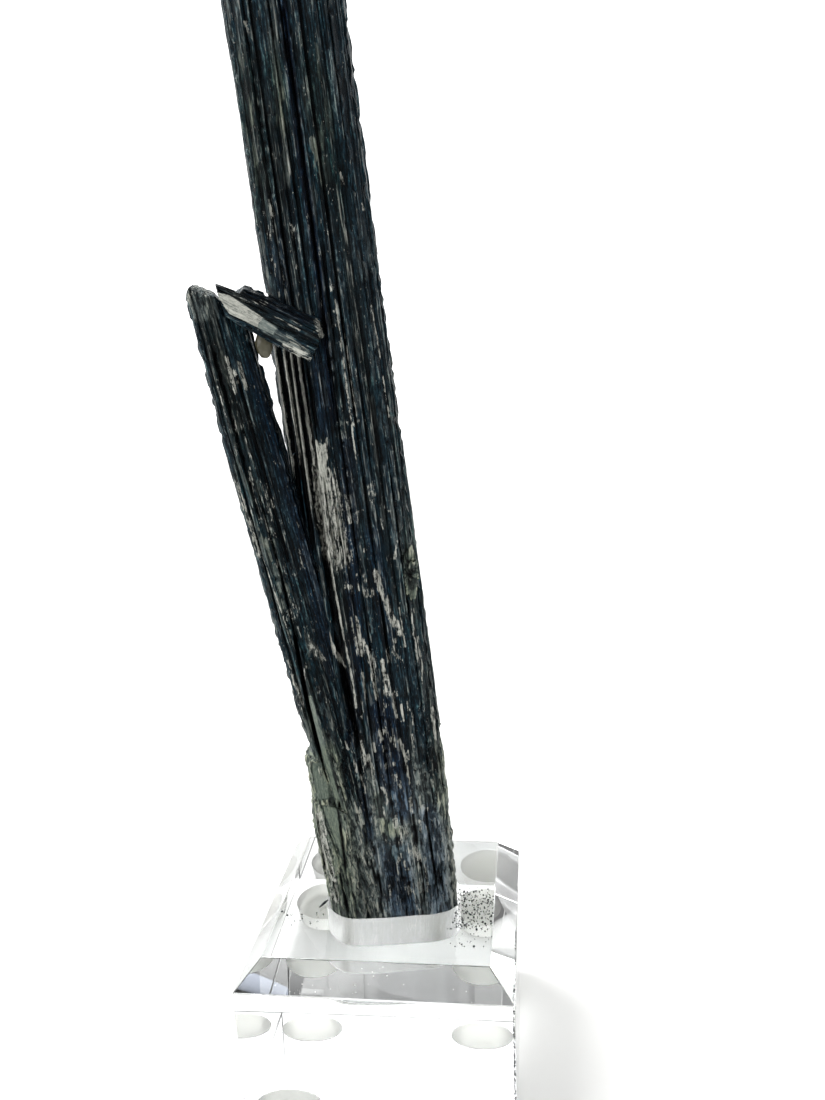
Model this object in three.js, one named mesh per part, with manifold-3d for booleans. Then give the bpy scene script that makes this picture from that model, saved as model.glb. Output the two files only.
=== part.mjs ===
// A stibnite crystal cluster standing in a clear acrylic display block.
//
// Long striated prisms of stibnite grew together: an upright main crystal, a thinner one that leans
// away from its left side, and a short one that bridges the gap between the two. They are one natural
// piece. Its foot stands in a deep pocket milled in a square acrylic block with chamfered top edges,
// and the block rests on four clear bumper feet.
//
// Millimetres, +Z up, the front of the block faces -Y. The cluster is modelled in a frame of its own,
// whose origin lies on the top of the block and whose x runs along the cluster's broad front.

import * as THREE from "three";
import { mergeVertices } from "three/addons/utils/BufferGeometryUtils.js";
import { ConvexGeometry } from "three/addons/geometries/ConvexGeometry.js";
import Module from "manifold-3d";

const wasm = await Module();
wasm.setup();

// ---------------------------------------------------------------- driving dimensions
const GAP = 0.3; // left between two pieces that touch
const BLOCK = { side: 50.8, height: 31.75, chamfer: 4.5 };
const FOOT = { radius: 6.35, tipRadius: 5.7, height: 3.5, round: 0.9, inset: 7.6, segments: 24 };
const POCKET = { depth: 14, clearance: 0.4, roundness: 40 };
const BLOCK_TOP = FOOT.height + BLOCK.height;
const CLUSTER = { x: 1.3, y: 0, turn: 9.43 }; // place on the block, and degrees about Z

// Plan of the pocket, anticlockwise, in the cluster's frame.
const POCKET_PLAN = [
  [-13.9, -0.6], [-12.8, -3.9], [-9.9, -6.8], [-4.0, -7.6], [2.5, -7.5], [8.4, -7.2],
  [11.7, -5.2], [12.95, -1.2], [12.5, 3.0], [9.9, 6.2], [4.0, 7.5], [-3.0, 7.4],
  [-9.0, 6.2], [-12.8, 3.6],
];

// A crystal's plan runs anticlockwise, and the third number of a corner is how many growth ribs the
// face that starts there carries. Its axis leaves `at` and leans to the left, and to the front, by
// `lean` degrees. `waist` gives its width and depth as shares of the plan at some levels. The ribs
// change height at `breaks` levels, by up to `relief`, and the furrows between them lie `furrow` deep.
// Each of `tips` takes away everything above a plane, over a rectangle of the plan, and leaves one face
// of the crystal's end: x range, y range, level at the middle, and rise of the plane along x and y.
const MAIN = {
  seed: 3, at: [1.9, 0, 0], lean: [4.55, 0], from: -14.5, to: 196, breaks: 9,
  relief: 0.75, furrow: [0.35, 0.9],
  plan: [
    [-10.3, 0.4, 2], [-9.1, -3.5, 2], [-5.7, -5.7, 4], [0.2, -6.3, 5], [7.9, -5.7, 2], [10.1, -3.3, 2],
    [10.6, 0.6, 2], [9.2, 4.2, 3], [5.4, 6.2, 5], [-2.4, 6.5, 3], [-7.6, 4.9, 2], [-9.7, 2.8, 1],
  ],
  waist: [[-14.5, 1, 1], [6, 1, 1], [36, 1.06, 1.02], [60, 1.03, 1.01], [110, 1.01, 1], [196, 0.98, 0.97]],
  tips: [
    [[-14, -5.7], [-9, 9], 176, 0.9, 0.5],
    [[-5.8, -1.9], [-9, 9], 186, 0.5, 0.7],
    [[-2.0, 3.6], [-9, 9], 193.5, 0.75, 0.25],
    [[3.5, 7.4], [-9, 9], 189.5, -0.9, 0.45],
    [[7.3, 14], [-9, 9], 180, -1.3, 0.3],
    [[-14, 14], [-9, -1.5], 190.5, 0, 1.9],
    [[-14, 14], [1.0, 9], 188.5, 0, -1.7],
    [[-14, -1.0], [2.5, 9], 172, 0.35, -0.5],
  ],
};
const SIDE = {
  seed: 17, at: [-3.2, -0.9, 0], lean: [10.7, 1.5], from: -13, to: 125, breaks: 7,
  relief: 0.6, furrow: [0.3, 0.75],
  plan: [
    [-5.3, -0.6, 1], [-4.3, -3.4, 2], [-2.2, -4.6, 1], [-0.5, -4.9, 4], [4.9, -2.0, 1], [5.2, 0.9, 2],
    [3.0, 3.3, 3], [-2.6, 3.4, 2], [-4.9, 1.6, 1],
  ],
  waist: [[-13, 0.8, 0.8], [20, 1, 0.95], [40, 1.08, 1], [70, 1.02, 1], [100, 1, 1], [125, 0.86, 0.9]],
  tips: [
    [[-8, 8], [-8, 8], 120.0, -0.75, 0],
    [[0.2, 8], [-8, 8], 113.3, -1.7, 0],
    [[-8, -2.5], [-8, 8], 117.9, 1.45, 0],
    [[-8, 8], [-8, -2.4], 117.2, -0.75, 1.0],
    [[-8, 8], [1.2, 8], 116.9, -0.75, -0.9],
  ],
};
const BRIDGE = {
  seed: 29, at: [-8.5, -6.5, 108.4], lean: [60.8, 0], from: 0, to: 20, breaks: 1,
  relief: 0.4, furrow: [0.2, 0.5],
  plan: [
    [-3.1, 0.2, 1], [-2.7, -1.8, 2], [0.6, -3.0, 3], [3.7, -1.9, 1], [4.4, 0.4, 1], [3.0, 2.5, 3],
    [-1.8, 2.6, 1],
  ],
  waist: [[0, 1, 1], [8, 1, 1], [14, 0.9, 1], [20, 0.7, 0.9]],
  tips: [
    [[-6, 1.9], [-6, 6], 15.6, 0.92, 0],
    [[1.7, 7], [-6, 6], 14.6, -0.35, 0.3],
    [[-6, 7], [-6, -0.4], 17.6, 0, 1.1],
  ],
};

// Slabs of the same growth that broke off low on the left.
const SLABS = [
  {
    seed: 41, at: [0, 0, 0], lean: [5.1, 0], from: -14.5, to: 24.4, breaks: 1,
    relief: 0.3, furrow: [0.2, 0.4],
    plan: [
      [-13.7, -0.4, 1], [-12.9, -3.4, 1], [-10.3, -6.0, 3], [-6, -6.2, 0], [-4, 2, 0], [-9, 4.9, 2],
      [-12.6, 3.4, 1],
    ],
    waist: [[-14.5, 0.98, 1], [8, 1, 1], [24.4, 1, 1]],
    tips: [[[-16, 0], [-9, 9], 23.0, -0.5, 0]],
  },
  {
    seed: 43, at: [0, 0, 0], lean: [5.1, 0], from: 10, to: 36, breaks: 1,
    relief: 0.3, furrow: [0.2, 0.4],
    plan: [
      [-13.1, -0.2, 1], [-12.6, -3.2, 1], [-11.2, -5.3, 1], [-8.4, -5.4, 0], [-4, 2, 0], [-9, 4.4, 2],
      [-12.2, 2.8, 1],
    ],
    waist: [[10, 1, 1], [36, 1.02, 1]],
    tips: [[[-16, 0], [-9, 9], 34.4, 0.12, 0.1]],
  },
];

// Clefts in the front, as V-shaped cuts: [x, z, width, depth] down the line, below a front level y.
const CLEFTS = [
  {
    y: -6.4,
    line: [[-10.4, 160, 1.1, 1.3], [-7.5, 120, 1.2, 1.5], [-6.3, 96, 1.0, 1.2], [-4.4, 72, 0.6, 0.5]],
  },
  {
    y: -6.6,
    line: [[-9.6, 63, 0.6, 0.6], [-8.2, 55, 1.6, 2.4], [-7.0, 45, 2.3, 3.2], [-5.6, 34, 1.0, 1.2]],
  },
  {
    y: -7.6,
    line: [
      [-20.0, 84, 0.5, 0.7], [-17.4, 70, 0.8, 1.2], [-14.9, 55, 0.9, 1.6], [-13.3, 42, 0.9, 1.8],
      [-11.9, 33, 0.9, 1.9], [-10.2, 25, 0.7, 1.2],
    ],
  },
  { y: -6.3, line: [[-13.4, 22.5, 0.5, 0.8], [-11.9, 17, 0.8, 1.4], [-10.2, 11, 0.5, 0.8]] },
];
const CLEFT_OPEN = 3; // the cut is twice as wide this far in front of its level
const LEDGE = { x: [-17.5, -12.4], y: [-9, -2.4], z: [34.6, 35.8] }; // a slot where a blade broke out
// The main crystal's left edge is broken away behind the bridge, and a thin sheet is missing above it.
const EDGE_BREAKS = [
  { x: [-12.5, -7.9], y: [-9, 1.5], z: [112, 118.4] },
  { x: [-12.5, -9.5], y: [-9, 9], z: [116, 200] },
];
const CRUST = { at: [6.0, -4.2, 69], size: [1.6, 1.5, 3.8] }; // a rough lump on the right edge
const CHIP = { at: [-17.2, -5.2, 109.0], size: [1.7, 1.3, 2.7] }; // a small crystal under the bridge

const LUMP_TURN = [0.4, 0.3]; // radians about X and Y, so that no facet of a lump lies straight

const MERGE = 1e-3; // corners closer than this are one
const LEDGE_STEP = 0.8; // length over which a rib changes height
const FAR = 60; // past everything that a cut has to clear
const ABOVE = 5; // how far the pocket's cut stands over the block
const RADIANS = Math.PI / 180;

// ---------------------------------------------------------------- small tools
// The same number from 0 to 1 for the same three numbers.
function chance(a, b, c) {
  const value = Math.sin(a * 12.9898 + b * 78.233 + c * 37.719) * 43758.5453;
  return value - Math.floor(value);
}

function mix(low, high, share) {
  return low + (high - low) * share;
}

function solidOf(geometry) {
  const bare = geometry.index ? geometry.toNonIndexed() : geometry.clone();
  bare.deleteAttribute("normal");
  bare.deleteAttribute("uv");
  const merged = mergeVertices(bare, MERGE);
  return new wasm.Manifold(new wasm.Mesh({
    numProp: 3,
    vertProperties: new Float32Array(merged.attributes.position.array),
    triVerts: new Uint32Array(merged.index.array),
  }));
}

function geometryOf(solid) {
  const mesh = solid.getMesh();
  const corners = new Float32Array(mesh.numVert * 3);
  for (let i = 0; i < mesh.numVert; i++) {
    corners.set(mesh.vertProperties.subarray(i * mesh.numProp, i * mesh.numProp + 3), i * 3);
  }
  const geometry = new THREE.BufferGeometry();
  geometry.setAttribute("position", new THREE.BufferAttribute(corners, 3));
  geometry.setIndex(new THREE.BufferAttribute(new Uint32Array(mesh.triVerts), 1));
  geometry.computeVertexNormals();
  return geometry;
}

// The largest body of a solid, without the pinholes left where ribs of two crystals cross.
function oneBody(solid) {
  const bodies = solidOf(geometryOf(solid)).decompose();
  return bodies.reduce((best, body) => body.volume() > best.volume() ? body : best);
}

// A prism over a plan, with each corner put where place(x, y, top) says; top is 0 or 1.
function prism(plan, place) {
  const shape = new THREE.Shape(plan.map(([x, y]) => new THREE.Vector2(x, y)));
  const geometry = new THREE.ExtrudeGeometry(shape, { depth: 1, bevelEnabled: false });
  const corners = geometry.attributes.position;
  for (let i = 0; i < corners.count; i++) {
    const [x, y] = [corners.getX(i), corners.getY(i)];
    corners.setXYZ(i, x, y, place(x, y, Math.round(corners.getZ(i))));
  }
  return geometry;
}

function rectangle([x0, x1], [y0, y1]) {
  return [[x0, y0], [x1, y0], [x1, y1], [x0, y1]];
}

function box(x, y, z) {
  return prism(rectangle(x, y), (px, py, top) => z[top]);
}

// ---------------------------------------------------------------- crystals
// From upright to the crystal's own lean and place.
function stand(geometry, { at, lean }) {
  const [left, front] = lean.map((angle) => angle * RADIANS);
  return geometry.rotateX(front).rotateY(-left).translate(...at);
}

// The corners of a ribbed section, each as its place on the plan, the direction out of the face,
// its rib and what it is: 0 and 1 are the two edges of a rib's crest, 2 is the furrow after it.
function ribCorners({ plan, seed }) {
  const corners = [];
  let rib = 0;
  plan.forEach(([ax, ay, ribs], i) => {
    const [bx, by] = plan[(i + 1) % plan.length];
    const length = Math.hypot(bx - ax, by - ay);
    const out = [(by - ay) / length, (ax - bx) / length];
    if (!ribs) corners.push({ x: ax, y: ay, out, rib, kind: 0, sharp: true });
    for (let j = 0; j < ribs; j++) {
      const crest = mix(0.45, 0.7, chance(seed, rib, 1));
      const furrow = crest + mix(0.12, 0.24, chance(seed, rib, 2));
      const start = j ? mix(0, 0.1, chance(seed, rib, 3)) : 0;
      [start, crest, furrow].forEach((part, kind) => {
        const share = (j + part) / ribs;
        corners.push({ x: mix(ax, bx, share), y: mix(ay, by, share), out, rib, kind, sharp: j + kind === 0 });
      });
      rib++;
    }
  });
  return corners;
}

// How far below the plan a rib's crest or furrow lies after a number of breaks. The plan's own
// corners stay nearly sharp.
function depthBelow({ seed, relief, furrow }, { rib, kind, sharp }, state) {
  if (kind === 2) return mix(...furrow, chance(seed, rib, 5) ** 2) + 0.2 * chance(seed, rib, state + 60);
  const crest = relief * chance(seed, rib, state + 20) ** 1.6;
  return sharp ? crest * 0.3 : crest * (kind ? 0.7 : 1);
}

// The level at which each break starts on a rib. The ends of the crystal stay level.
function breakLevel({ seed, from, to, breaks }, rib, number) {
  const spacing = (to - from) / breaks;
  return from + spacing * (number + 0.5 + 0.7 * (chance(seed, rib, number + 40) - 0.5));
}

function waistAt(waist, z) {
  const next = Math.max(1, waist.findIndex(([level]) => level >= z));
  const [below, above] = [waist[next - 1], waist[next]];
  const share = (z - below[0]) / (above[0] - below[0]);
  return [mix(below[1], above[1], share), mix(below[2], above[2], share)];
}

// A ribbed crystal: a cylinder whose rings of corners are moved to the ribbed sections.
function crystalGeometry(crystal) {
  const ring = ribCorners(crystal);
  const steps = crystal.breaks * 2 + 1;
  const geometry = new THREE.CylinderGeometry(1, 1, steps, ring.length, steps)
    .rotateX(Math.PI / 2).rotateZ(Math.PI / 2);
  const corners = geometry.attributes.position;
  for (let i = 0; i < corners.count; i++) {
    const [x, y] = [corners.getX(i), corners.getY(i)];
    const row = Math.round(corners.getZ(i) + steps / 2);
    const end = row === 0 ? crystal.from : crystal.to;
    if (Math.hypot(x, y) < 0.5) {
      corners.setXYZ(i, 0, 0, end);
      continue;
    }
    const turn = Math.round((Math.atan2(y, x) / (2 * Math.PI)) * ring.length);
    const corner = ring[(turn + ring.length) % ring.length];
    const number = Math.floor((row - 1) / 2);
    const level = row === 0 || row === steps ? end
      : breakLevel(crystal, corner.rib, number) + (row % 2 ? 0 : LEDGE_STEP);
    const depth = depthBelow(crystal, corner, Math.floor(row / 2));
    const [wide, deep] = waistAt(crystal.waist, level);
    const [skinX, skinY] = [corner.x - corner.out[0] * depth, corner.y - corner.out[1] * depth];
    corners.setXYZ(i, skinX * wide, skinY * deep, level);
  }
  return geometry;
}

// Everything above a plane over a rectangle, which leaves one face of a crystal's end.
function tipCut([x, y, level, riseX, riseY]) {
  const [cx, cy] = [(x[0] + x[1]) / 2, (y[0] + y[1]) / 2];
  return prism(rectangle(x, y), (px, py, top) => (
    top ? level + FAR : level + riseX * (px - cx) + riseY * (py - cy)));
}

function crystalSolid(crystal) {
  return crystal.tips.reduce(
    (solid, tip) => solid.subtract(solidOf(stand(tipCut(tip), crystal))),
    solidOf(stand(crystalGeometry(crystal), crystal)));
}

// One stretch of a V-shaped cleft, between two points of its line.
function cleftCut(y, [a, b]) {
  const corners = [a, b].flatMap(([x, z, width, depth]) => [
    new THREE.Vector3(x - width, y - CLEFT_OPEN, z),
    new THREE.Vector3(x + width, y - CLEFT_OPEN, z),
    new THREE.Vector3(x + width / 2, y, z),
    new THREE.Vector3(x - width / 2, y, z),
    new THREE.Vector3(x, y + depth, z),
  ]);
  return new ConvexGeometry(corners);
}

function lump({ at, size }) {
  const [aboutX, aboutY] = LUMP_TURN;
  return new THREE.IcosahedronGeometry(1, 1).rotateX(aboutX).rotateY(aboutY).scale(...size).translate(...at);
}

// ---------------------------------------------------------------- pocket
function pocketGeometry(clearance, low, high) {
  const corners = POCKET_PLAN.map(([x, y]) => {
    const reach = Math.hypot(x, y);
    return new THREE.Vector3(x, y, 0).multiplyScalar(1 - clearance / reach);
  });
  const curve = new THREE.CatmullRomCurve3(corners, true, "centripetal");
  const plan = curve.getPoints(POCKET.roundness).slice(0, -1).map(({ x, y }) => [x, y]);
  return prism(plan, (x, y, top) => top ? high : low);
}

function onBlock(geometry) {
  return geometry.rotateZ(CLUSTER.turn * RADIANS).translate(CLUSTER.x, CLUSTER.y, BLOCK_TOP);
}

// ---------------------------------------------------------------- the pieces
function clusterGeometry() {
  const main = EDGE_BREAKS.reduce(
    (solid, { x, y, z }) => solid.subtract(solidOf(stand(box(x, y, z), MAIN))),
    crystalSolid(MAIN));
  const others = [SIDE, ...SLABS, BRIDGE].map(crystalSolid);
  const lumps = [CHIP, CRUST].map((place) => solidOf(lump(place)));
  let cluster = [...others, ...lumps].reduce((solid, other) => solid.add(other), main);
  for (const { y, line } of CLEFTS) {
    for (let i = 1; i < line.length; i++) {
      cluster = cluster.subtract(solidOf(cleftCut(y, [line[i - 1], line[i]])));
    }
  }
  cluster = cluster.subtract(solidOf(box(LEDGE.x, LEDGE.y, LEDGE.z)));

  // the foot fits the pocket with some play and stops short of its floor
  const reach = [-FAR, FAR];
  const around = solidOf(box(reach, reach, [-FAR, GAP]))
    .subtract(solidOf(pocketGeometry(POCKET.clearance, GAP - POCKET.depth, ABOVE)));
  return onBlock(geometryOf(oneBody(cluster.subtract(around))));
}

function blockGeometry() {
  const half = BLOCK.side / 2;
  const plan = rectangle([-half, half], [-half, half]);
  const levels = [FOOT.height, BLOCK_TOP - BLOCK.chamfer, BLOCK_TOP];
  const lower = solidOf(prism(plan, (x, y, top) => levels[top]));
  const upper = prism(plan, (x, y, top) => levels[top + 1]);
  const corners = upper.attributes.position;
  const inset = (half - BLOCK.chamfer) / half;
  for (let i = 0; i < corners.count; i++) {
    if (corners.getZ(i) === levels[2]) corners.setXY(i, corners.getX(i) * inset, corners.getY(i) * inset);
  }
  const pocket = solidOf(onBlock(pocketGeometry(0, -POCKET.depth, ABOVE)));
  return geometryOf(lower.add(solidOf(upper)).subtract(pocket));
}

// A bumper foot: a flat disc with a slight draught and a rounded lower edge.
function footGeometry() {
  const high = FOOT.height - GAP;
  const profile = [new THREE.Vector2(0, 0)];
  const turns = 3;
  for (let i = 0; i <= turns; i++) {
    const angle = (i / turns) * (Math.PI / 2);
    const x = FOOT.tipRadius - FOOT.round * (1 - Math.sin(angle));
    profile.push(new THREE.Vector2(x, FOOT.round * (1 - Math.cos(angle))));
  }
  profile.push(new THREE.Vector2(FOOT.radius, high), new THREE.Vector2(0, high));
  return new THREE.LatheGeometry(profile, FOOT.segments).rotateX(Math.PI / 2);
}

// ---------------------------------------------------------------- assembly
const stibnite = new THREE.MeshStandardMaterial({ color: 0x2c343c, roughness: 0.4, metalness: 0.7 });
const acrylic = new THREE.MeshStandardMaterial({
  color: 0xeef3f2, roughness: 0.05, metalness: 0, transparent: true, opacity: 0.3,
});
const silicone = new THREE.MeshStandardMaterial({
  color: 0xe9ebe2, roughness: 0.3, metalness: 0, transparent: true, opacity: 0.5,
});

function named(name, geometry, material) {
  const mesh = new THREE.Mesh(geometry, material);
  mesh.name = name;
  return mesh;
}

const specimen = new THREE.Group();
specimen.add(named("stibnite_cluster", clusterGeometry(), stibnite));
specimen.add(named("acrylic_block", blockGeometry(), acrylic));
for (const [side, sideways] of [["left", -1], ["right", 1]]) {
  for (const [end, endways] of [["front", -1], ["rear", 1]]) {
    const foot = named(`foot_${end}_${side}`, footGeometry(), silicone);
    const reach = BLOCK.side / 2 - FOOT.inset;
    foot.position.set(sideways * reach, endways * reach, 0);
    specimen.add(foot);
  }
}

// The origin is the middle of the whole object's footprint, on the surface it stands on.
const outline = new THREE.Box3().setFromObject(specimen, true);
const middle = outline.getCenter(new THREE.Vector3());
specimen.position.set(-middle.x, -middle.y, 0);

export default specimen;
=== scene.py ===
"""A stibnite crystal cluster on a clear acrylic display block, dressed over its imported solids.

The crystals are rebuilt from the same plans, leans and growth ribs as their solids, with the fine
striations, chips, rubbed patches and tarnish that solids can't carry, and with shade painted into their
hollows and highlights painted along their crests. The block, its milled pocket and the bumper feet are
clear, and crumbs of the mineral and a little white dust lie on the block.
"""

import logging
import math
from dataclasses import dataclass, replace
from enum import Enum

import bpy
import numpy as np
from mathutils import Matrix, Vector


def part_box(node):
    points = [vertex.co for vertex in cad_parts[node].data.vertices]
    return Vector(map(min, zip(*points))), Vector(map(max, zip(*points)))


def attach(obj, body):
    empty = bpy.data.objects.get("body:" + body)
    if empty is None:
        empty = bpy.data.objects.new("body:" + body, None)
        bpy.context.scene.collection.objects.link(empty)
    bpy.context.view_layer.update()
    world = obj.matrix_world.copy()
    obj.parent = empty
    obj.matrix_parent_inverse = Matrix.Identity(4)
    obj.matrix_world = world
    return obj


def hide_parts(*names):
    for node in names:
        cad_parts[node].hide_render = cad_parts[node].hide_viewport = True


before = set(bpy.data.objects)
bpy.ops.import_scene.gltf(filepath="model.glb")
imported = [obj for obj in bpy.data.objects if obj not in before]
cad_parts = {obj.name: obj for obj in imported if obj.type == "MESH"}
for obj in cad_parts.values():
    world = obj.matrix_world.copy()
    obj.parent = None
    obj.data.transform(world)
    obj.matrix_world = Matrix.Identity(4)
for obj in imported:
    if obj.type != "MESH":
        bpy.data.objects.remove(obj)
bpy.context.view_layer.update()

logging.basicConfig(level=logging.INFO, format="%(message)s")
LOG = logging.getLogger("specimen")

Array = np.ndarray
Piece = bpy.types.Object
Socket = bpy.types.NodeSocket
Pair = tuple[float, float]
Triple = tuple[float, float, float]
Quad = tuple[float, float, float, float]

MM = 0.001
TURN = math.radians(9.43)  # the cluster's broad front, turned to the right of the block's front
FOOT_OF_CLUSTER = (1.3, 0.0)  # millimetres from the middle of the block's top
HALF_BLOCK = 25.4  # millimetres from the block's middle to its sides
LEVEL = 0.1 * MM  # faces nearer than this to a level lie on it


# ------------------------------------------------------------------------------------ small tools
def chance(a: Array, b: Array, c: Array) -> Array:
    """Gives the same number from 0 to 1 for the same three numbers, by the usual hash of a sine.

    Args:
        a: first number or array of numbers.
        b: second number or array.
        c: third number or array.

    Returns:
        The numbers, as an array of the common shape.
    """
    value = np.sin(np.asarray(a) * 12.9898 + np.asarray(b) * 78.233 + np.asarray(c) * 37.719) * 43758.5453
    return value - np.floor(value)


def mix(low: Array, high: Array, share: Array) -> Array:
    """Returns the value that lies `share` of the way from low to high."""
    return low + (high - low) * share


def ease(share: Array) -> Array:
    """Returns a share from 0 to 1 that starts and ends gently."""
    held = np.clip(share, 0.0, 1.0)
    return held * held * (3.0 - 2.0 * held)


def linear(colour: str) -> Quad:
    """Turns an sRGB hex colour into the linear colour that a shader takes.

    Args:
        colour: six hex digits, such as "2b343b".

    Returns:
        Red, green, blue and an alpha of 1.
    """
    parts = [int(colour[i : i + 2], 16) / 255 for i in (0, 2, 4)]
    red, green, blue = [p / 12.92 if p <= 0.04045 else ((p + 0.055) / 1.055) ** 2.4 for p in parts]
    return red, green, blue, 1.0


def noise(across: Array, along: Array, seed: int) -> Array:
    """Gives smooth noise from 0 to 1 over a plane, with swells one unit across."""
    x, y = np.floor(across), np.floor(along)
    low = mix(chance(x, y, seed), chance(x + 1, y, seed), ease(across - x))
    high = mix(chance(x, y + 1, seed), chance(x + 1, y + 1, seed), ease(across - x))
    return mix(low, high, ease(along - y))


def let_go() -> None:
    """Leaves edit mode and deselects every object."""
    if bpy.context.object and bpy.context.object.mode != "OBJECT":
        bpy.ops.object.mode_set(mode="OBJECT")
    bpy.ops.object.select_all(action="DESELECT")


def take(piece: Piece) -> None:
    """Makes a piece the only one selected, and the active one."""
    let_go()
    piece.select_set(True)
    bpy.context.view_layer.objects.active = piece


def named(name: str) -> Piece:
    """Names the piece that an operator has just added."""
    piece = bpy.context.object
    piece.name = piece.data.name = name
    return piece


def corners_of(piece: Piece) -> Array:
    """Reads the corners of a piece's mesh, one row each."""
    places = np.empty(len(piece.data.vertices) * 3)
    piece.data.vertices.foreach_get("co", places)
    return places.reshape(-1, 3)


def move_corners(piece: Piece, places: Array) -> None:
    """Puts the corners of a piece's mesh at new places."""
    piece.data.vertices.foreach_set("co", np.ascontiguousarray(places, float).ravel())
    piece.data.update()


def keep(piece: Piece, **values: Array) -> None:
    """Stores values for each corner of a piece, for its material to read.

    Args:
        piece: the piece.
        values: by attribute name, one number, or one colour of four shares, for each corner.
    """
    for name, numbers in values.items():
        kind, entry = ("FLOAT", "value") if np.ndim(numbers) == 1 else ("FLOAT_COLOR", "color")
        piece.data.attributes.new(name, kind, "POINT").data.foreach_set(entry, np.ravel(numbers))


def report(piece: Piece) -> None:
    """Logs a finished piece and its number of faces."""
    LOG.info("%s: %d faces", piece.name, len(piece.data.polygons))


def modify(piece: Piece, kind: str, **settings: object) -> None:
    """Applies a modifier of the given kind, with its settings by name, to a piece."""
    take(piece)
    modifier = piece.modifiers.new(kind, kind)
    for key, value in settings.items():
        setattr(modifier, key, value)
    bpy.ops.object.modifier_apply(modifier=modifier.name)


def smooth(piece: Piece, degrees: float, flat_over: float = math.inf) -> None:
    """Smooths the gentle edges of a piece.

    Args:
        piece: the piece, which is taken first.
        degrees: sharpest edge that is smoothed.
        flat_over: area in square millimetres above which a face stays flat, so that its whole plane
            refracts as one.
    """
    take(piece)
    bpy.ops.object.shade_smooth_by_angle(angle=math.radians(degrees))
    for face in piece.data.polygons:
        if face.area > flat_over * MM * MM:
            face.use_smooth = False


def edit(piece: Piece) -> None:
    """Takes a piece into edit mode, with all of it selected."""
    take(piece)
    bpy.ops.object.mode_set(mode="EDIT")
    bpy.ops.mesh.select_all(action="SELECT")


def edit_level(piece: Piece, level: float) -> None:
    """Takes a piece into edit mode, with only its faces at a level selected."""
    edit(piece)
    bpy.ops.mesh.select_mode(type="FACE")
    bpy.ops.mesh.select_all(action="DESELECT")
    bpy.ops.object.mode_set(mode="OBJECT")
    chosen = [abs(face.center.z - level) < LEVEL for face in piece.data.polygons]
    piece.data.polygons.foreach_set("select", chosen)
    bpy.ops.object.mode_set(mode="EDIT")


def turn_out() -> None:
    """Turns every face of the piece in edit mode outwards, and leaves edit mode."""
    bpy.ops.mesh.select_all(action="SELECT")
    bpy.ops.mesh.normals_make_consistent(inside=False)
    let_go()


# ------------------------------------------------------------------------------------ finishes
class Nodes:
    """A node tree and short ways to add to it."""

    def __init__(self, tree: bpy.types.NodeTree) -> None:
        """Takes a tree as it is."""
        self.tree = tree

    def add(self, kind: str, settings: dict | None = None, **links: object) -> bpy.types.Node:
        """Adds a node with its settings and the links into it.

        Args:
            kind: the node's type name.
            settings: its properties by name.
            links: what goes into each socket, a socket to link or a value to set, by the socket's name
                with _ for spaces, or by _ and its number.

        Returns:
            The node.
        """
        node = self.tree.nodes.new(kind)
        for key, value in (settings or {}).items():
            setattr(node, key, value)
        for key, value in links.items():
            self.plug(node, int(key[1:]) if key[1:].isdigit() else key.replace("_", " "), value)
        return node

    def plug(self, node: bpy.types.Node, socket: str | int, value: object) -> None:
        """Links a socket to another one, or sets its value."""
        if isinstance(value, Socket):
            self.tree.links.new(value, node.inputs[socket])
        else:
            node.inputs[socket].default_value = value

    def ramp(self, share: Socket, stops: dict[float, str]) -> Socket:
        """Adds a colour ramp.

        Args:
            share: the socket that drives it.
            stops: sRGB hex colours by their place on the ramp, in rising order.

        Returns:
            The ramp's colour socket.
        """
        node = self.add("ShaderNodeValToRGB", Fac=share)
        bar = node.color_ramp
        for place in list(stops)[2:]:
            bar.elements.new(place)
        for element, (place, colour) in zip(bar.elements, stops.items()):
            element.position = place
            element.color = linear(colour)
        return node.outputs["Color"]

    def between(self, share: object, low: object, high: object, blend: str = "MIX") -> Socket:
        """Blends two colours, each a socket or a linear colour, and returns the result's socket."""
        kind = {"data_type": "RGBA", "blend_type": blend}
        return self.add("ShaderNodeMix", kind, Factor=share, _6=low, _7=high).outputs[2]

    def sum(self, operation: str, first: object, second: object, third: object = 0.0) -> Socket:
        """Adds a math node on sockets or numbers and returns its result's socket."""
        return self.add("ShaderNodeMath", {"operation": operation}, _0=first, _1=second, _2=third).outputs[0]

    def total(self, *parts: tuple[Socket, float], start: float = 0.0) -> Socket:
        """Adds up sockets, each times its weight, on top of a start."""
        value = start
        for socket, weight in parts:
            value = self.sum("MULTIPLY_ADD", socket, weight, value)
        return value

    def spread(self, value: Socket, low: float, high: float, least: float = 0.0, most: float = 1.0) -> Socket:
        """Stretches the range from low to high onto the one from least to most, held at both ends."""
        node = self.add("ShaderNodeMapRange", {"clamp": True}, Value=value, From_Min=low, From_Max=high,
                        To_Min=least, To_Max=most)
        return node.outputs["Result"]


class Shader(Nodes):
    """One material's node tree, with its surface shader ready to be set."""

    def __init__(self, name: str) -> None:
        """Starts a material, named for what it is and how its surface was made."""
        self.material = bpy.data.materials.new(name)
        self.material.use_nodes = True
        super().__init__(self.material.node_tree)
        self.surface = self.tree.nodes["Principled BSDF"]

    def set(self, **values: object) -> bpy.types.Material:
        """Sets or links sockets of the surface shader, with _ for spaces, and returns the material."""
        for key, value in values.items():
            self.plug(self.surface, key.replace("_", " "), value)
        return self.material


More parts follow.
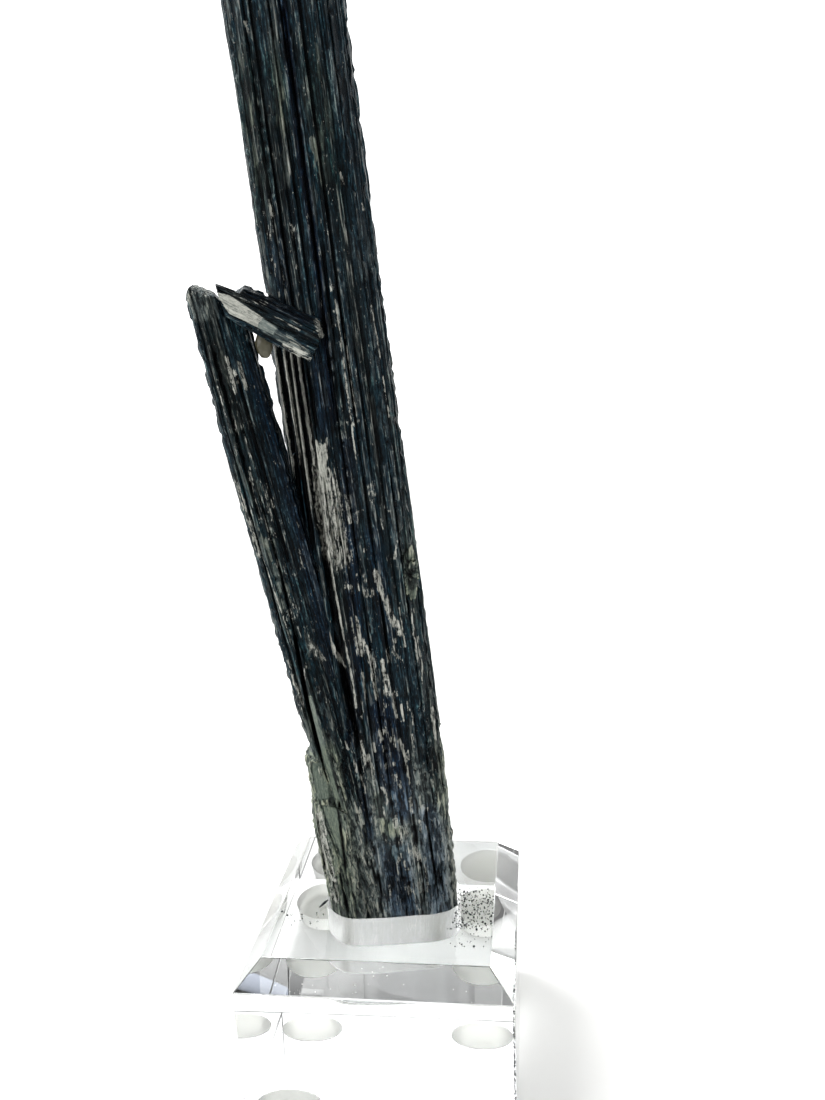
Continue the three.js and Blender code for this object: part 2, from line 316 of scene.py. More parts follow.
@dataclass(frozen=True)
class TarnishedStibnite:
    """Antimony sulphide grown as striated prisms and tarnished in air.

    The eye sees a slate black metal with a blue and an olive bloom, brighter lead grey where the skin is
    rubbed or cleaved off, and hair lines that run along each crystal. Shade is painted black into its
    hollows, and highlights are painted grey along its crests and as glints.
    """

    name: str
    black: str = "06080a"
    slate: str = "132027"
    steel: str = "283c46"
    bright: str = "84928f"
    shade: str = "14191b"  # from here on the weathered skin, from its cracks to its palest flakes
    shale: str = "3a4546"
    flake: str = "6f7976"
    pale: str = "b3b4a9"
    blue: str = "8eb0dd"  # from here on the tints that the skin is multiplied by
    teal: str = "8ccfdc"
    olive: str = "e4e9d6"
    rust: str = "dcc6b8"
    # ash, grey and chalk colour the rubbed patches and the pale lines painted as highlights; grey also paints
    # the glints and crest highlights
    ash: str = "6a6f6a"  # from here on the rubbed patches
    grey: str = "a6a79f"
    chalk: str = "c6c7be"
    metallic: float = 0.85
    hair: float = 0.24  # millimetres between the finest striations, coarser than the real ones
    flakes: float = 1.15  # torn flakes in a millimetre
    relief: float = 0.00016  # metres that the bump stands for

    def material(self, place: Vector, turn: Triple) -> bpy.types.Material:
        """Makes the finish for a crystal whose grain runs along its own axis.

        Args:
            place: the foot of the crystal's axis, in metres.
            turn: the crystal's turns about X, Y and Z.

        Returns:
            The material.
        """
        shader = Shader(self.name)
        where = shader.add("ShaderNodeTexCoord").outputs["Object"]
        local = shader.add("ShaderNodeMapping", {"vector_type": "TEXTURE"}, Vector=where, Location=place,
                           Rotation=turn, Scale=(MM, MM, MM)).outputs[0]
        along, short, sliver = (
            shader.add("ShaderNodeMapping", Vector=local, Scale=(1.0, 1.0, length)).outputs[0]
            for length in (0.06, 0.36, 0.19)
        )

        def noise_of(vector: Socket, scale: float, detail: float, roughness: float = 0.5) -> Socket:
            """Adds a noise texture and returns its value's socket."""
            return shader.add("ShaderNodeTexNoise", Vector=vector, Scale=scale, Detail=detail,
                              Roughness=roughness).outputs["Fac"]

        def even(value: Socket) -> Socket:
            """Spreads a noise, which keeps to its middle, over the whole range from 0 to 1."""
            return shader.spread(value, 0.36, 0.64)

        streak = even(noise_of(along, 1.4, 5.0, 0.7))
        hair = noise_of(along, 1 / self.hair, 3.0, 0.6)
        hairs = even(hair)
        stain = noise_of(along, 0.3, 2.0)
        cloud = noise_of(local, 0.09, 3.0)
        grain = even(noise_of(short, 2.4, 6.0, 0.9))
        spark = noise_of(short, 3.2, 2.0, 0.7)
        chips = even(noise_of(short, 1.9, 4.0, 0.8))
        patina = shader.add("ShaderNodeAttribute", {"attribute_name": "patina"})
        # rubbed: rubbed skin, and pale lines painted as highlights on the crests
        rubbed, olive, blue = shader.add("ShaderNodeSeparateColor", Color=patina.outputs["Color"]).outputs
        bare = patina.outputs["Alpha"]
        crest, strand = (shader.add("ShaderNodeAttribute", {"attribute_name": name}).outputs["Fac"]
                         for name in ("crest", "strand"))

        # dark skin in lines along the grain, each strand with its own tone; the crest share adds painted
        # shading, lighter on crests and darker in furrows
        tone = shader.total((hairs, 0.34), (grain, 0.42), (streak, 0.14), (strand, -0.16), (crest, 0.22))
        skin = shader.ramp(tone, {0.3: self.black, 0.52: self.slate, 0.7: self.steel, 0.9: self.bright})
        skin = shader.between(shader.spread(stain, 0.52, 0.66), skin, linear(self.rust), "MULTIPLY")
        skin = shader.between(shader.spread(cloud, 0.3, 0.6), skin, linear(self.teal), "MULTIPLY")

        # weathered skin in torn flakes with dark cracks between them, and flat faces where a slab broke off
        sway = shader.add("ShaderNodeTexNoise", Vector=sliver, Scale=1.6, Detail=3.0).outputs["Color"]
        torn = shader.add("ShaderNodeVectorMath", {"operation": "MULTIPLY_ADD"}, _0=sway, _1=(1.1, 1.1, 1.1),
                          _2=sliver).outputs[0]
        cell = shader.add("ShaderNodeTexVoronoi", Vector=torn, Scale=self.flakes).outputs["Color"]
        flake = shader.add("ShaderNodeSeparateColor", Color=cell).outputs[0]
        crack = shader.add("ShaderNodeTexVoronoi", {"feature": "DISTANCE_TO_EDGE"}, Vector=torn,
                           Scale=self.flakes).outputs["Distance"]
        # the crest share paints shading here too, lighter on crests and darker in hollows
        tone = shader.total((flake, 0.32), (grain, 0.3), (hairs, 0.26), (strand, -0.14), (crest, 0.36),
                            start=-0.03)
        cleaved = shader.spread(bare, 1.1, 1.4)
        face = shader.total((bare, 0.22), (grain, 0.22), (hairs, 0.1))
        tone = shader.sum("MULTIPLY_ADD", cleaved, shader.sum("SUBTRACT", face, tone), tone)
        under = shader.ramp(tone, {0.25: self.shade, 0.45: self.shale, 0.62: self.flake, 0.85: self.pale})
        whole = shader.sum("MAXIMUM", cleaved, shader.spread(crack, 0.0, 0.06))
        under = shader.between(whole, linear(self.shade), under)
        weathered = shader.spread(shader.total((bare, 1.0), (flake, 0.3)), 0.35, 0.9)
        skin = shader.between(weathered, skin, under)
        skin = shader.between(blue, skin, linear(self.blue), "MULTIPLY")
        skin = shader.between(olive, skin, linear(self.olive), "MULTIPLY")

        # painted shade: black in the hollows, grooves and clefts; painted highlights: grey glints and grey
        # along the crests; grey also where the skin is rubbed off
        skin = shader.between(shader.spread(crest, 0.0, 0.32), linear(self.black), skin)
        # glint: painted glints, grey specks on the crests
        glint = shader.sum("MULTIPLY", shader.spread(spark, 0.67, 0.71), shader.spread(crest, 0.3, 0.5))
        # worn: painted highlights, grey along the crests of the striations
        worn = shader.sum("MULTIPLY", shader.spread(hair, 0.52, 0.66), shader.spread(crest, 0.58, 0.85))
        for share in (glint, worn):
            skin = shader.between(shader.sum("MULTIPLY", share, 0.6), skin, linear(self.grey))
        ragged = shader.total((rubbed, 0.82), (chips, 0.45), (grain, 0.3), (hairs, 0.3))
        patch = shader.spread(ragged, 1.06, 1.2)
        tone = shader.total((grain, 0.5), (hairs, 0.25), (streak, 0.25))
        under = shader.ramp(tone, {0.3: self.ash, 0.5: self.grey, 0.75: self.chalk})
        skin = shader.between(patch, skin, under)

        metal = shader.total((patch, -0.6), (weathered, -0.4), start=self.metallic)
        dull = shader.total((hair, 0.2), (patch, 0.2), (weathered, 0.15), start=0.2)
        height = shader.total((hair, 0.7), (grain, 0.3), (shader.spread(crack, 0.0, 0.08), 0.4))
        bump = shader.add("ShaderNodeBump", Strength=0.8, Distance=self.relief, Height=height).outputs[0]
        metal = shader.sum("MAXIMUM", metal, 0.0)
        return shader.set(Base_Color=skin, Metallic=metal, Roughness=dull, Normal=bump)


@dataclass(frozen=True)
class Plain:
    """A finish that is the same all over, as that of clear rubber, dust or paint is."""

    name: str
    colour: str
    roughness: float
    metallic: float = 0.0
    ior: float = 1.5
    clear: float = 0.0  # share of the light that goes through

    def shader(self) -> Shader:
        """Makes the finish and returns its shader."""
        shader = Shader(self.name)
        shader.set(Base_Color=linear(self.colour), Roughness=self.roughness, Metallic=self.metallic,
                   IOR=self.ior, Transmission_Weight=self.clear)
        return shader

    def material(self) -> bpy.types.Material:
        """Makes the finish and returns its material."""
        return self.shader().material


@dataclass(frozen=True)
class Milled(Plain):
    """A clear finish left as milled, with marks that run down its wall."""

    marks: float = 900.0  # in a metre
    drawn_out: float = 0.06  # their width over their length
    relief: float = 0.0002  # metres that the bump stands for

    def material(self) -> bpy.types.Material:
        """Makes the finish with its milling marks."""
        shader = self.shader()
        where = shader.add("ShaderNodeTexCoord").outputs["Object"]
        down = shader.add("ShaderNodeMapping", Vector=where, Scale=(1.0, 1.0, self.drawn_out)).outputs[0]
        marks = shader.add("ShaderNodeTexNoise", Vector=down, Scale=self.marks, Detail=3.0).outputs["Fac"]
        return shader.set(Normal=shader.add("ShaderNodeBump", Strength=0.5, Distance=self.relief,
                                            Height=marks).outputs[0])


STIBNITE = TarnishedStibnite("tarnished stibnite")
CRUSTED_STIBNITE = TarnishedStibnite("crusted stibnite", hair=0.6)
POLISHED_ACRYLIC = Plain("flame polished acrylic", "fbfdfd", 0.0, ior=1.49, clear=1.0)
MILLED_ACRYLIC = Milled("milled acrylic", "fbfdfd", 0.36, ior=1.49, clear=1.0)
CLEAR_RUBBER = Plain("moulded clear silicone", "fdfdf8", 0.35, ior=1.41, clear=0.95)
OLIVE_CRYSTAL = Plain("waxy olive crystal", "4a4733", 0.42, ior=1.55, clear=0.2)
STIBNITE_DUST = Plain("crushed stibnite", "23282c", 0.6, metallic=0.3)
WHITE_DUST = Plain("white dust", "f4f4f0", 0.6)
WHITE_PAINT = Plain("matt white paint", "f2f2f0", 0.9)


# ------------------------------------------------------------------------------------ the cluster
def on_block(places: Array) -> Array:
    """Moves places from the cluster's frame to the part's.

    Args:
        places: rows of x, y and z in millimetres, in the frame of the cluster.

    Returns:
        The same places in metres, in the frame of the part.
    """
    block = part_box("acrylic_block")
    middle = (block[0] + block[1]) / 2
    x, y, z = np.moveaxis(places, -1, 0)
    return np.stack([
        middle.x + (x * math.cos(TURN) - y * math.sin(TURN) + FOOT_OF_CLUSTER[0]) * MM,
        middle.y + (x * math.sin(TURN) + y * math.cos(TURN) + FOOT_OF_CLUSTER[1]) * MM,
        block[1].z + z * MM,
    ], axis=-1)


class Bloom(Enum):
    """What a stroke is on a crystal's skin; the value is its channel in the patina."""

    # rubbed skin, and pale lines painted as highlights on the crests
    RUBBED = 0
    OLIVE = 1
    BLUE = 2
    WEATHERED = 3
    # a groove is also painted black, as shade
    GROOVE = 4  # cut into the skin instead, as many millimetres deep as it is strong
    FRESH = 5  # unweathered skin instead


@dataclass(frozen=True)
class Stroke:
    """A streak on the front of a crystal, along a line of x and z in the cluster's frame."""

    bloom: Bloom
    line: tuple[Pair, ...]
    width: float
    strength: float = 1.0
    broken: float = 1.0  # share of the strands under it that carry it
    taper: float = 0.0  # length over which its ends fade

    def share(self, x: Array, z: Array, lottery: Array) -> Array:
        """Gives the strength of the streak at each place.

        Args:
            x: places along the cluster's front.
            z: heights.
            lottery: a number from 0 to 1 for each strand of the skin.

        Returns:
            The strengths, 0 away from the streak.
        """
        best = np.full(x.shape, np.inf)
        for (ax, az), (bx, bz) in zip(self.line, self.line[1:]):
            reach = (bx - ax) ** 2 + (bz - az) ** 2
            along = np.clip(((x - ax) * (bx - ax) + (z - az) * (bz - az)) / reach, 0.0, 1.0)
            best = np.minimum(best, np.hypot(x - ax - along * (bx - ax), z - az - along * (bz - az)))
        strength = self.strength * ease(1.5 * (1.0 - best / self.width)) * (lottery < self.broken)
        if self.taper:
            ends = [height for _, height in self.line]
            strength = strength * ease(np.minimum(z - min(ends), max(ends) - z) / self.taper)
        return strength


def streaks(
    bloom: Bloom, *rows: tuple[float, ...], broken: float = 1.0, taper: float = 0.0
) -> tuple[Stroke, ...]:
    """Makes streaks that are alike.

    Args:
        bloom: what they are.
        rows: for each its width, its strength, and then x and z of every point of its line.
        broken: share of the strands under them that carry them.
        taper: length over which their ends fade.

    Returns:
        The streaks.
    """
    return tuple(
        Stroke(bloom, tuple(zip(row[2::2], row[3::2])), row[0], row[1], broken, taper) for row in rows
    )


@dataclass(frozen=True)
class Facet(Stroke):
    """A cleaved face with straight edges: its line runs clockwise round a convex outline.

    On a weathered skin a strength above 1 makes it flat, and the stronger it is the paler.
    """

    width: float = 0.2  # over which its edge fades

    def share(self, x: Array, z: Array, lottery: Array) -> Array:
        """Gives the strength of the face at each place, with the same arguments as a stroke."""
        inside = np.full(x.shape, np.inf)
        for (ax, az), (bx, bz) in zip(self.line, self.line[1:] + self.line[:1]):
            across = ((x - ax) * (bz - az) - (z - az) * (bx - ax)) / math.hypot(bx - ax, bz - az)
            inside = np.minimum(inside, across)
        return self.strength * ease(inside / self.width + 0.5)


@dataclass(frozen=True)
class Cleft:
    """A V-shaped cleft in the cluster's front: x, z, width and depth down its line, below a level y."""

    y: float
    line: tuple[Quad, ...]

    def press(self, x: Array, y: Array, z: Array) -> Array:
        """Pushes front places that lie in the cleft back to its walls, and returns the new y."""
        line = np.array(sorted(self.line, key=lambda point: point[1]))
        middle, width, depth = (np.interp(z, line[:, 1], line[:, i]) for i in (0, 2, 3))
        off = np.abs(x - middle) / (width / 2)
        wall = np.where(off < 1, self.y + depth * (1 - off), self.y - 3 * (off - 1))
        inside = (off < 2) & (z > line[0, 1]) & (z < line[-1, 1])
        return np.where(inside, np.maximum(y, wall), y)


@dataclass(frozen=True)
class Pocket:
    """The pocket milled in the block's top, whose plan is a smooth closed curve in the cluster's frame."""

    depth: float = 14.0
    play: float = 0.4
    lip: float = 0.3  # the cluster is trimmed to the pocket below this height
    points: int = 8  # between two corners of the plan
    plan: tuple[Pair, ...] = (
        (-13.9, -0.6), (-12.8, -3.9), (-9.9, -6.8), (-4.0, -7.6), (2.5, -7.5), (8.4, -7.2), (11.7, -5.2),
        (12.95, -1.2), (12.5, 3.0), (9.9, 6.2), (4.0, 7.5), (-3.0, 7.4), (-9.0, 6.2), (-12.8, 3.6),
    )

    def outline(self, inset: float = 0.0) -> Array:
        """Gives the plan's curve, a centripetal spline through its corners.

        Args:
            inset: how far the corners are drawn in towards the middle.

        Returns:
            Rows of x and y in millimetres.
        """
        corners = np.array(self.plan)
        corners = corners * (1 - inset / np.linalg.norm(corners, axis=1, keepdims=True))
        share = (np.arange(self.points) / self.points)[:, None]
        runs = []
        for i in range(len(corners)):
            a, b, c, d = (corners[(i + k) % len(corners)] for k in (-1, 0, 1, 2))
            ab, bc, cd = (math.sqrt(math.dist(p, q)) for p, q in ((a, b), (b, c), (c, d)))
            leave = ((b - a) / ab - (c - a) / (ab + bc) + (c - b) / bc) * bc
            arrive = ((c - b) / bc - (d - b) / (bc + cd) + (d - c) / cd) * bc
            runs.append(b + leave * share + (3 * (c - b) - 2 * leave - arrive) * share**2
                        + (2 * (b - c) + leave + arrive) * share**3)
        return np.concatenate(runs)

    def trim(self, x: Array, y: Array, z: Array) -> tuple[Array, Array, Array]:
        """Draws places below the lip in to fit the pocket, and returns the new x, y and z."""
        edge = self.outline(self.play)
        turns = np.arctan2(edge[:, 1], edge[:, 0])
        reach = np.interp(np.arctan2(y, x), turns, np.hypot(edge[:, 0], edge[:, 1]), period=2 * math.pi)
        share = np.where(z < self.lip, np.minimum(1.0, reach / np.maximum(np.hypot(x, y), 0.001)), 1.0)
        return x * share, y * share, np.maximum(z, self.lip - self.depth)


CLEFTS = (
    Cleft(-6.4, ((-10.4, 160, 1.1, 1.3), (-7.5, 120, 1.2, 1.5), (-6.3, 96, 1.0, 1.2), (-4.4, 72, 0.6, 0.5))),
    Cleft(-6.6, ((-10.4, 67, 0.5, 0.6), (-9.2, 60, 1.5, 2.0), (-8.1, 53, 2.7, 3.2), (-7.0, 45, 2.6, 3.2),
                 (-6.0, 38, 2.2, 2.8), (-5.2, 32, 0.9, 1.0))),
    Cleft(-7.6, ((-20.0, 84, 0.5, 0.7), (-17.4, 70, 0.8, 1.2), (-15.4, 55, 0.9, 1.6))),
    Cleft(-6.3, ((-15.8, 58, 0.5, 1.2), (-14.4, 44, 1.0, 2.4), (-13.2, 35.5, 1.5, 3.0), (-12.2, 30, 0.8, 2.4),
                 (-10.7, 23.5, 0.6, 1.2))),
    Cleft(-6.3, ((-13.6, 23, 0.5, 0.8), (-12.0, 17, 0.8, 1.6), (-10.0, 10, 0.5, 0.8))),
)


@dataclass(frozen=True)
class Crystal:
    """One striated crystal, grown over a plan with ribs, furrows and strands that break off and restart.

    Its plan, lean, waist, ribs and tips are those of its solid. The strands, chips and streaks are finer.
    """

    name: str
    seed: int
    at: Triple
    lean: Pair  # degrees to the left and to the front
    start: float
    end: float
    breaks: int
    relief: float
    furrow: Pair
    plan: tuple[tuple[float, float, int], ...]  # corners, and the ribs on the face that starts at each
    waist: tuple[Triple, ...]
    tips: tuple[tuple[Pair, Pair, float, float, float], ...]
    rows: tuple[Pair, ...]  # from each level up, the height of a row
    tip_from: float  # rows above this level are drawn in to the tips
    strips: Pair = (0.14, 0.25)  # width of a strip of skin at the front and at the back
    strand: float = 0.75  # width of a strand
    strand_depth: float = 0.2
    grit: float = 0.08
    rings: int = 22  # rows over the upper end
    base_rings: int = 0  # rows over a lower end that shows
    dome: float = 0.5  # how far the edge of its end is rounded
    missing: tuple[Quad, ...] = ()  # left edge broken off: x, y limit, levels
    strokes: tuple[Stroke, ...] = ()
    finish: TarnishedStibnite = STIBNITE

    STEP = 0.8  # length over which a rib changes height
    BROKEN_BELOW = 50.0  # height from which the skin is the more broken the lower it lies
    BROKEN_OVER = 24.0  # height over which it gets as broken as it can be
    CREST_TO_FURROW = 0.7  # depth between a full crest and a full furrow
    FRONT = 1.5  # how far behind the axis the strokes and clefts of the front reach
    BEHIND = 5.0  # how far behind the axis the weathering of the back is fully patchy
    # painted shade: grooves and clefts are painted black from these depths
    BLACK = 0.6  # depth from which a groove is black
    CLEFT_BLACK = 0.9  # depth from which a cleft is black
    SMOOTHED = (9, 6)  # columns and rows to each side over which a cleaved face is evened out
    MERGED = 0.001  # corners nearer than this are one
    SHARP = 32.0  # degrees from which an edge stays sharp

    # ---- the solid's surface
    def ring(self) -> Array:
        """Gives the corners of a section: x, y, outward x and y, rib, kind (2 is a furrow) and sharp."""
        corners = []
        rib = 0
        for (ax, ay, ribs), (bx, by, _) in zip(self.plan, self.plan[1:] + self.plan[:1]):
            length = math.hypot(bx - ax, by - ay)
            out = ((by - ay) / length, (ax - bx) / length)
            if not ribs:
                corners.append((ax, ay, *out, rib, 0, 1))
            for j in range(ribs):
                crest = mix(0.45, 0.7, chance(self.seed, rib, 1))
                furrow = crest + mix(0.12, 0.24, chance(self.seed, rib, 2))
                start = mix(0.0, 0.1, chance(self.seed, rib, 3)) if j else 0.0
                for kind, part in enumerate((start, crest, furrow)):
                    share = (j + part) / ribs
                    corners.append((mix(ax, bx, share), mix(ay, by, share), *out, rib, kind, j + kind == 0))
                rib += 1
        return np.array(corners, float)

    def below(self, ring: Array, state: int) -> Array:
        """Gives how far below the plan each corner of a section lies after a number of breaks."""
        rib, kind, sharp = ring[:, 4], ring[:, 5], ring[:, 6]
        crest = self.relief * chance(self.seed, rib, state + 20) ** 1.6
        crest = crest * np.where(sharp > 0, 0.3, np.where(kind == 1, 0.7, 1.0))
        furrow = mix(*self.furrow, chance(self.seed, rib, 5) ** 2) + 0.2 * chance(self.seed, rib, state + 60)
        return np.where(kind == 2, furrow, crest)

    def depth(self, ring: Array, corner: Array, z: Array) -> Array:
        """Gives how far below the plan the skin lies.

        Args:
            ring: the corners of a section.
            corner: which of them each column follows.
            z: the level of each place, a row of columns for each level.

        Returns:
            The depths in millimetres, in the shape of z.
        """
        rib = ring[corner, 4]
        spacing = (self.end - self.start) / self.breaks
        depth = np.broadcast_to(self.below(ring, 0)[corner], z.shape).copy()
        for n in range(self.breaks):
            level = self.start + spacing * (n + 0.5 + 0.7 * (chance(self.seed, rib, n + 40) - 0.5))
            change = (self.below(ring, n + 1) - self.below(ring, n))[corner]
            depth += change * np.clip((z - level) / self.STEP, 0.0, 1.0)
        return depth

    def top(self, x: Array, y: Array) -> Array:
        """Gives the level of the crystal's end over each place of its plan."""
        level = np.full(np.shape(x), self.end)
        for (x0, x1), (y0, y1), middle, rise_x, rise_y in self.tips:
            plane = middle + rise_x * (x - (x0 + x1) / 2) + rise_y * (y - (y0 + y1) / 2)
            over = (x >= x0) & (x <= x1) & (y >= y0) & (y <= y1)
            level = np.where(over, np.minimum(level, plane), level)
        return level

    def draw_in(self, levels: Array, end: Array, z: Array) -> Array:
        """Draws the rows near the end of the crystal in to it.

        Args:
            levels: the level of each row.
            end: the level of the end in each column.
            z: the heights of the rows below, which they keep.

        Returns:
            The heights of all rows.
        """
        drawn = self.tip_from + (levels - self.tip_from) * (end - self.tip_from) / (self.end - self.tip_from)
        return np.where(levels > self.tip_from, drawn, z)

    # ---- the finer skin
    def strands(self, across: Array, z: Array) -> tuple[Array, Array]:
        """Gives the strands that run along the skin.

        Args:
            across: place round the crystal, in millimetres.
            z: level.

        Returns:
            How far each place lies below the highest strand, from 0 to 1, and a lottery number for each
            stretch of a strand.
        """
        place = across / self.strand + 0.35 * noise(across / 3.1, z / 60, self.seed + 7)
        cell = np.floor(place)
        side = np.abs(2 * (place - cell) - 1)
        stretch = mix(5.0, 26.0, chance(cell, 3, self.seed))
        piece = np.floor(z / stretch + 9 * chance(cell, 5, self.seed))
        height = chance(cell, piece, self.seed + 11)
        lottery = chance(cell, np.floor(z / mix(1.2, 4.5, chance(cell, 8, self.seed)) + cell), self.seed + 13)
        return 0.75 * height**1.5 + 0.55 * side**5, lottery

    def worn(self, height: Array) -> Array:
        """Gives how broken the skin is at a height, from 0 to 1; the foot of the cluster is the worst."""
        return mix(0.12, 1.0, ease((self.BROKEN_BELOW - height) / self.BROKEN_OVER))

    def flakes(self, across: Array, z: Array, wide: float, layer: int) -> Array:
        """Gives how far each flake of a broken skin lies below the highest, from 0 to 1.

        Args:
            across: place round the crystal, in millimetres.
            z: level.
            wide: width of a flake in millimetres.
            layer: number that tells one set of flakes from another.

        Returns:
            The depths as shares.
        """
        sway = noise(across / (3 * wide), z / (9 * wide), self.seed + layer) - 0.5
        fray = noise(across / wide, z / wide, self.seed + layer + 1) - 0.5
        place = across / wide + 2.4 * sway + 0.7 * fray
        cell = np.floor(place)
        slant = 3 * (chance(cell, layer, 18) - 0.5) * (place - cell) + fray
        length = mix(2.0, 6.5, chance(cell, layer, 17))
        piece = np.floor((z / wide + slant) / length + 9 * chance(cell, layer, 19))
        return chance(cell, piece, self.seed + layer) ** 1.4

    def chips(self, across: Array, z: Array, height: Array, strand: Array) -> tuple[Array, Array]:
        """Chips the skin.

        Args:
            across: place round the crystal, in millimetres.
            z: level.
            height: height on the cluster.
            strand: tone of the strands.

        Returns:
            How deep the skin is chipped, in millimetres, and the tone of the strands and flakes.
        """
        worn = self.worn(height + 18 * (noise(across / 2.0, z / 45, self.seed + 61) - 0.5))
        broad, narrow = self.flakes(across, z, 1.5, 41), self.flakes(across, z, 0.7, 43)
        coarse = noise(across / 1.3, z / 5.5, self.seed + 2)
        fine = noise(across / 0.55, z / 2.2, self.seed + 4)
        broken = 0.45 * broad + 0.45 * narrow + 0.4 * np.clip(coarse - 0.45, 0, 1)
        return worn * broken + self.grit * fine, mix(strand, 0.4 * broad + 0.6 * narrow, worn)

    def nicks(self, across: Array, z: Array, edges: Array) -> Array:
        """Gives how deep the edges of the crystal, at `edges` round it, are nicked, in millimetres."""
        off = np.min(np.abs(across[:, None] - edges), axis=1)
        bite = np.clip(noise(across / 2.0, z / 1.1, self.seed + 51) - 0.42, 0, 1)
        return 1.3 * bite * np.exp(-((off / 0.7) ** 2))

    def hollow(self, deep: Array) -> Array:
        """Gives how far each place lies below the skin around it, in millimetres."""
        return sum(0.6 * (deep - self.around(deep, columns, rows)) for columns, rows in ((3, 1), (9, 2)))

    def around(self, values: Array, columns: int, rows: int) -> Array:
        """Averages values of the skin over as many columns and rows to each side."""
        for axis, reach in ((1, columns), (0, rows)):
            values = np.mean([np.roll(values, step, axis) for step in range(-reach, reach + 1)], axis=0)
        return values

    def skin(self) -> tuple[Array, Array, Array, Array]:
        """Works out every place of the crystal's skin.

        Returns:
            Places in the part's frame (rows, columns, 3), the crest share (rows, columns), the patina
            (rows, columns, 4) and the tone of the strands. The last column repeats the first.
        """
        ring = self.ring()
        widths = np.hypot(*(np.roll(ring, -1, axis=0) - ring)[:, :2].T)
        starts = np.cumsum(widths) - widths
        counts = np.maximum(1, np.round(widths / np.where(ring[:, 3] < 0.2, *self.strips))).astype(int)
        corner = np.append(np.repeat(np.arange(len(ring)), counts), 0)
        share = np.append(np.concatenate([np.arange(n) / n for n in counts]), 0.0)
        follow = (corner + 1) % len(ring)
        across = starts[corner] + share * widths[corner]
        across[-1] = 0.0
        plan = mix(ring[corner, :4].T, ring[follow, :4].T, share)
        plan[2:] /= np.hypot(*plan[2:])
        runs = zip(self.rows, self.rows[1:] + ((self.end, 0.0),))
        levels = [np.arange(low, high, step) for (low, step), (high, _) in runs] + [[self.end]]
        levels = np.concatenate(levels)[:, None]
        z = self.draw_in(levels, self.top(plan[0] * self.waist[-1][1], plan[1] * self.waist[-1][2]), levels)

        depth = mix(self.depth(ring, corner, z), self.depth(ring, follow, z), share)
        strand, lottery = self.strands(across[None, :], z)
        height = self.at[2] + z * math.cos(math.radians(self.lean[0]))
        chipped, tone = self.chips(across[None, :], z, height, strand)
        edges = np.append(starts[ring[:, 6] > 0], widths.sum())
        depth = depth * (0.8 - 0.3 * self.worn(height))
        deep = depth + self.strand_depth * (strand + 0.15) + chipped + self.nicks(across, z, edges)
        # crest share: 1 on the crests, 0 deep in the furrows; the finish paints shade and highlights from it
        crest = np.clip(0.5 - self.hollow(deep) / self.CREST_TO_FURROW, 0, 1)
        round_off = np.clip((levels - self.end) / self.dome + 1, 0, 1)
        deep = deep + self.dome * (1 - np.sqrt(1 - round_off**2))
        waist = np.array(self.waist)
        x = (plan[0] - plan[2] * deep) * np.interp(z, waist[:, 0], waist[:, 1])
        y = (plan[1] - plan[3] * deep) * np.interp(z, waist[:, 0], waist[:, 2])
        for left, front, low, high in self.missing:
            torn = left + 0.35 * noise(z / 1.7, y / 1.1, self.seed + 21)
            x = np.where((z > low) & (z < high) & (y < front), np.maximum(x, torn), x)
        z = self.draw_in(levels, self.top(x[-1], y[-1]), z)
        x, y, z, crest, lottery, tone = self.close(x, y, z, crest, lottery, tone)
        return (*self.dress(np.stack([x, y, z], axis=-1), crest, lottery), tone)

    def close(self, x: Array, y: Array, z: Array, *values: Array) -> list[Array]:
        """Adds the rows that close the ends of the crystal.

        Args:
            x: places of the sides.
            y: places of the sides.
            z: places of the sides.
            values: more values of the sides, carried over the ends unchanged.

        Returns:
            x, y, z and the values with rows for the ends.
        """
        def over(row: int, rings: int, level: float | None) -> list[Array]:
            """Gives rows that shrink from a row to its middle, at the tips' level where none is given."""
            shares = np.linspace(1, 0, rings + 1)[1:, None]
            cap_x, cap_y = x[row] * shares, y[row] * shares
            rough = 0.5 * noise(cap_x / 0.9, cap_y / 0.9, self.seed + 31)
            rough = rough + 0.3 * noise(cap_x / 0.35, cap_y / 0.35, self.seed + 33)
            rough = (rough - 0.4) * np.minimum(1, 4 * (1 - shares))
            cap_z = self.top(cap_x, cap_y) - rough if level is None else level + rough
            return [cap_x, cap_y, cap_z] + [np.repeat(v[row][None], rings, 0) for v in values]

        parts = [[x, y, z, *values], over(-1, self.rings, None)]
        if self.base_rings:
            parts.insert(0, [v[::-1] for v in over(0, self.base_rings, self.start)])
        return [np.concatenate(columns) for columns in zip(*parts)]

    def dress(self, places: Array, crest: Array, lottery: Array) -> tuple[Array, Array, Array]:
        """Leans the crystal, cuts the cluster's clefts and the pocket's trim, and lays the patina on.

        Args:
            places: in the crystal's own frame.
            crest: crest shares.
            lottery: a number for each stretch of a strand.

        Returns:
            Places in the part's frame, crest shares and patina.
        """
        left, front = (math.radians(angle) for angle in self.lean)
        turn = np.array(Matrix.Rotation(-left, 3, "Y") @ Matrix.Rotation(front, 3, "X"))
        x, y, z = np.moveaxis(places @ turn.T + np.array(self.at), -1, 0)
        facing = y < self.at[1] + self.FRONT
        patina = np.zeros((*x.shape, 4))
        behind = ease((y - self.at[1]) / self.BEHIND)
        edge = z + mix(24, 44, behind) * (noise(x / 2.0, z / 30, self.seed + 62) - 0.5)
        patches = mix(1.0, ease(2.4 * noise(x / 2.6, z / 16, self.seed + 63) - 0.75), behind)
        patina[..., Bloom.WEATHERED.value] = self.worn(edge) * patches
        for stroke in self.strokes:
            share = stroke.share(x, z, lottery) * facing
            if stroke.bloom is Bloom.GROOVE:
                y = y + share
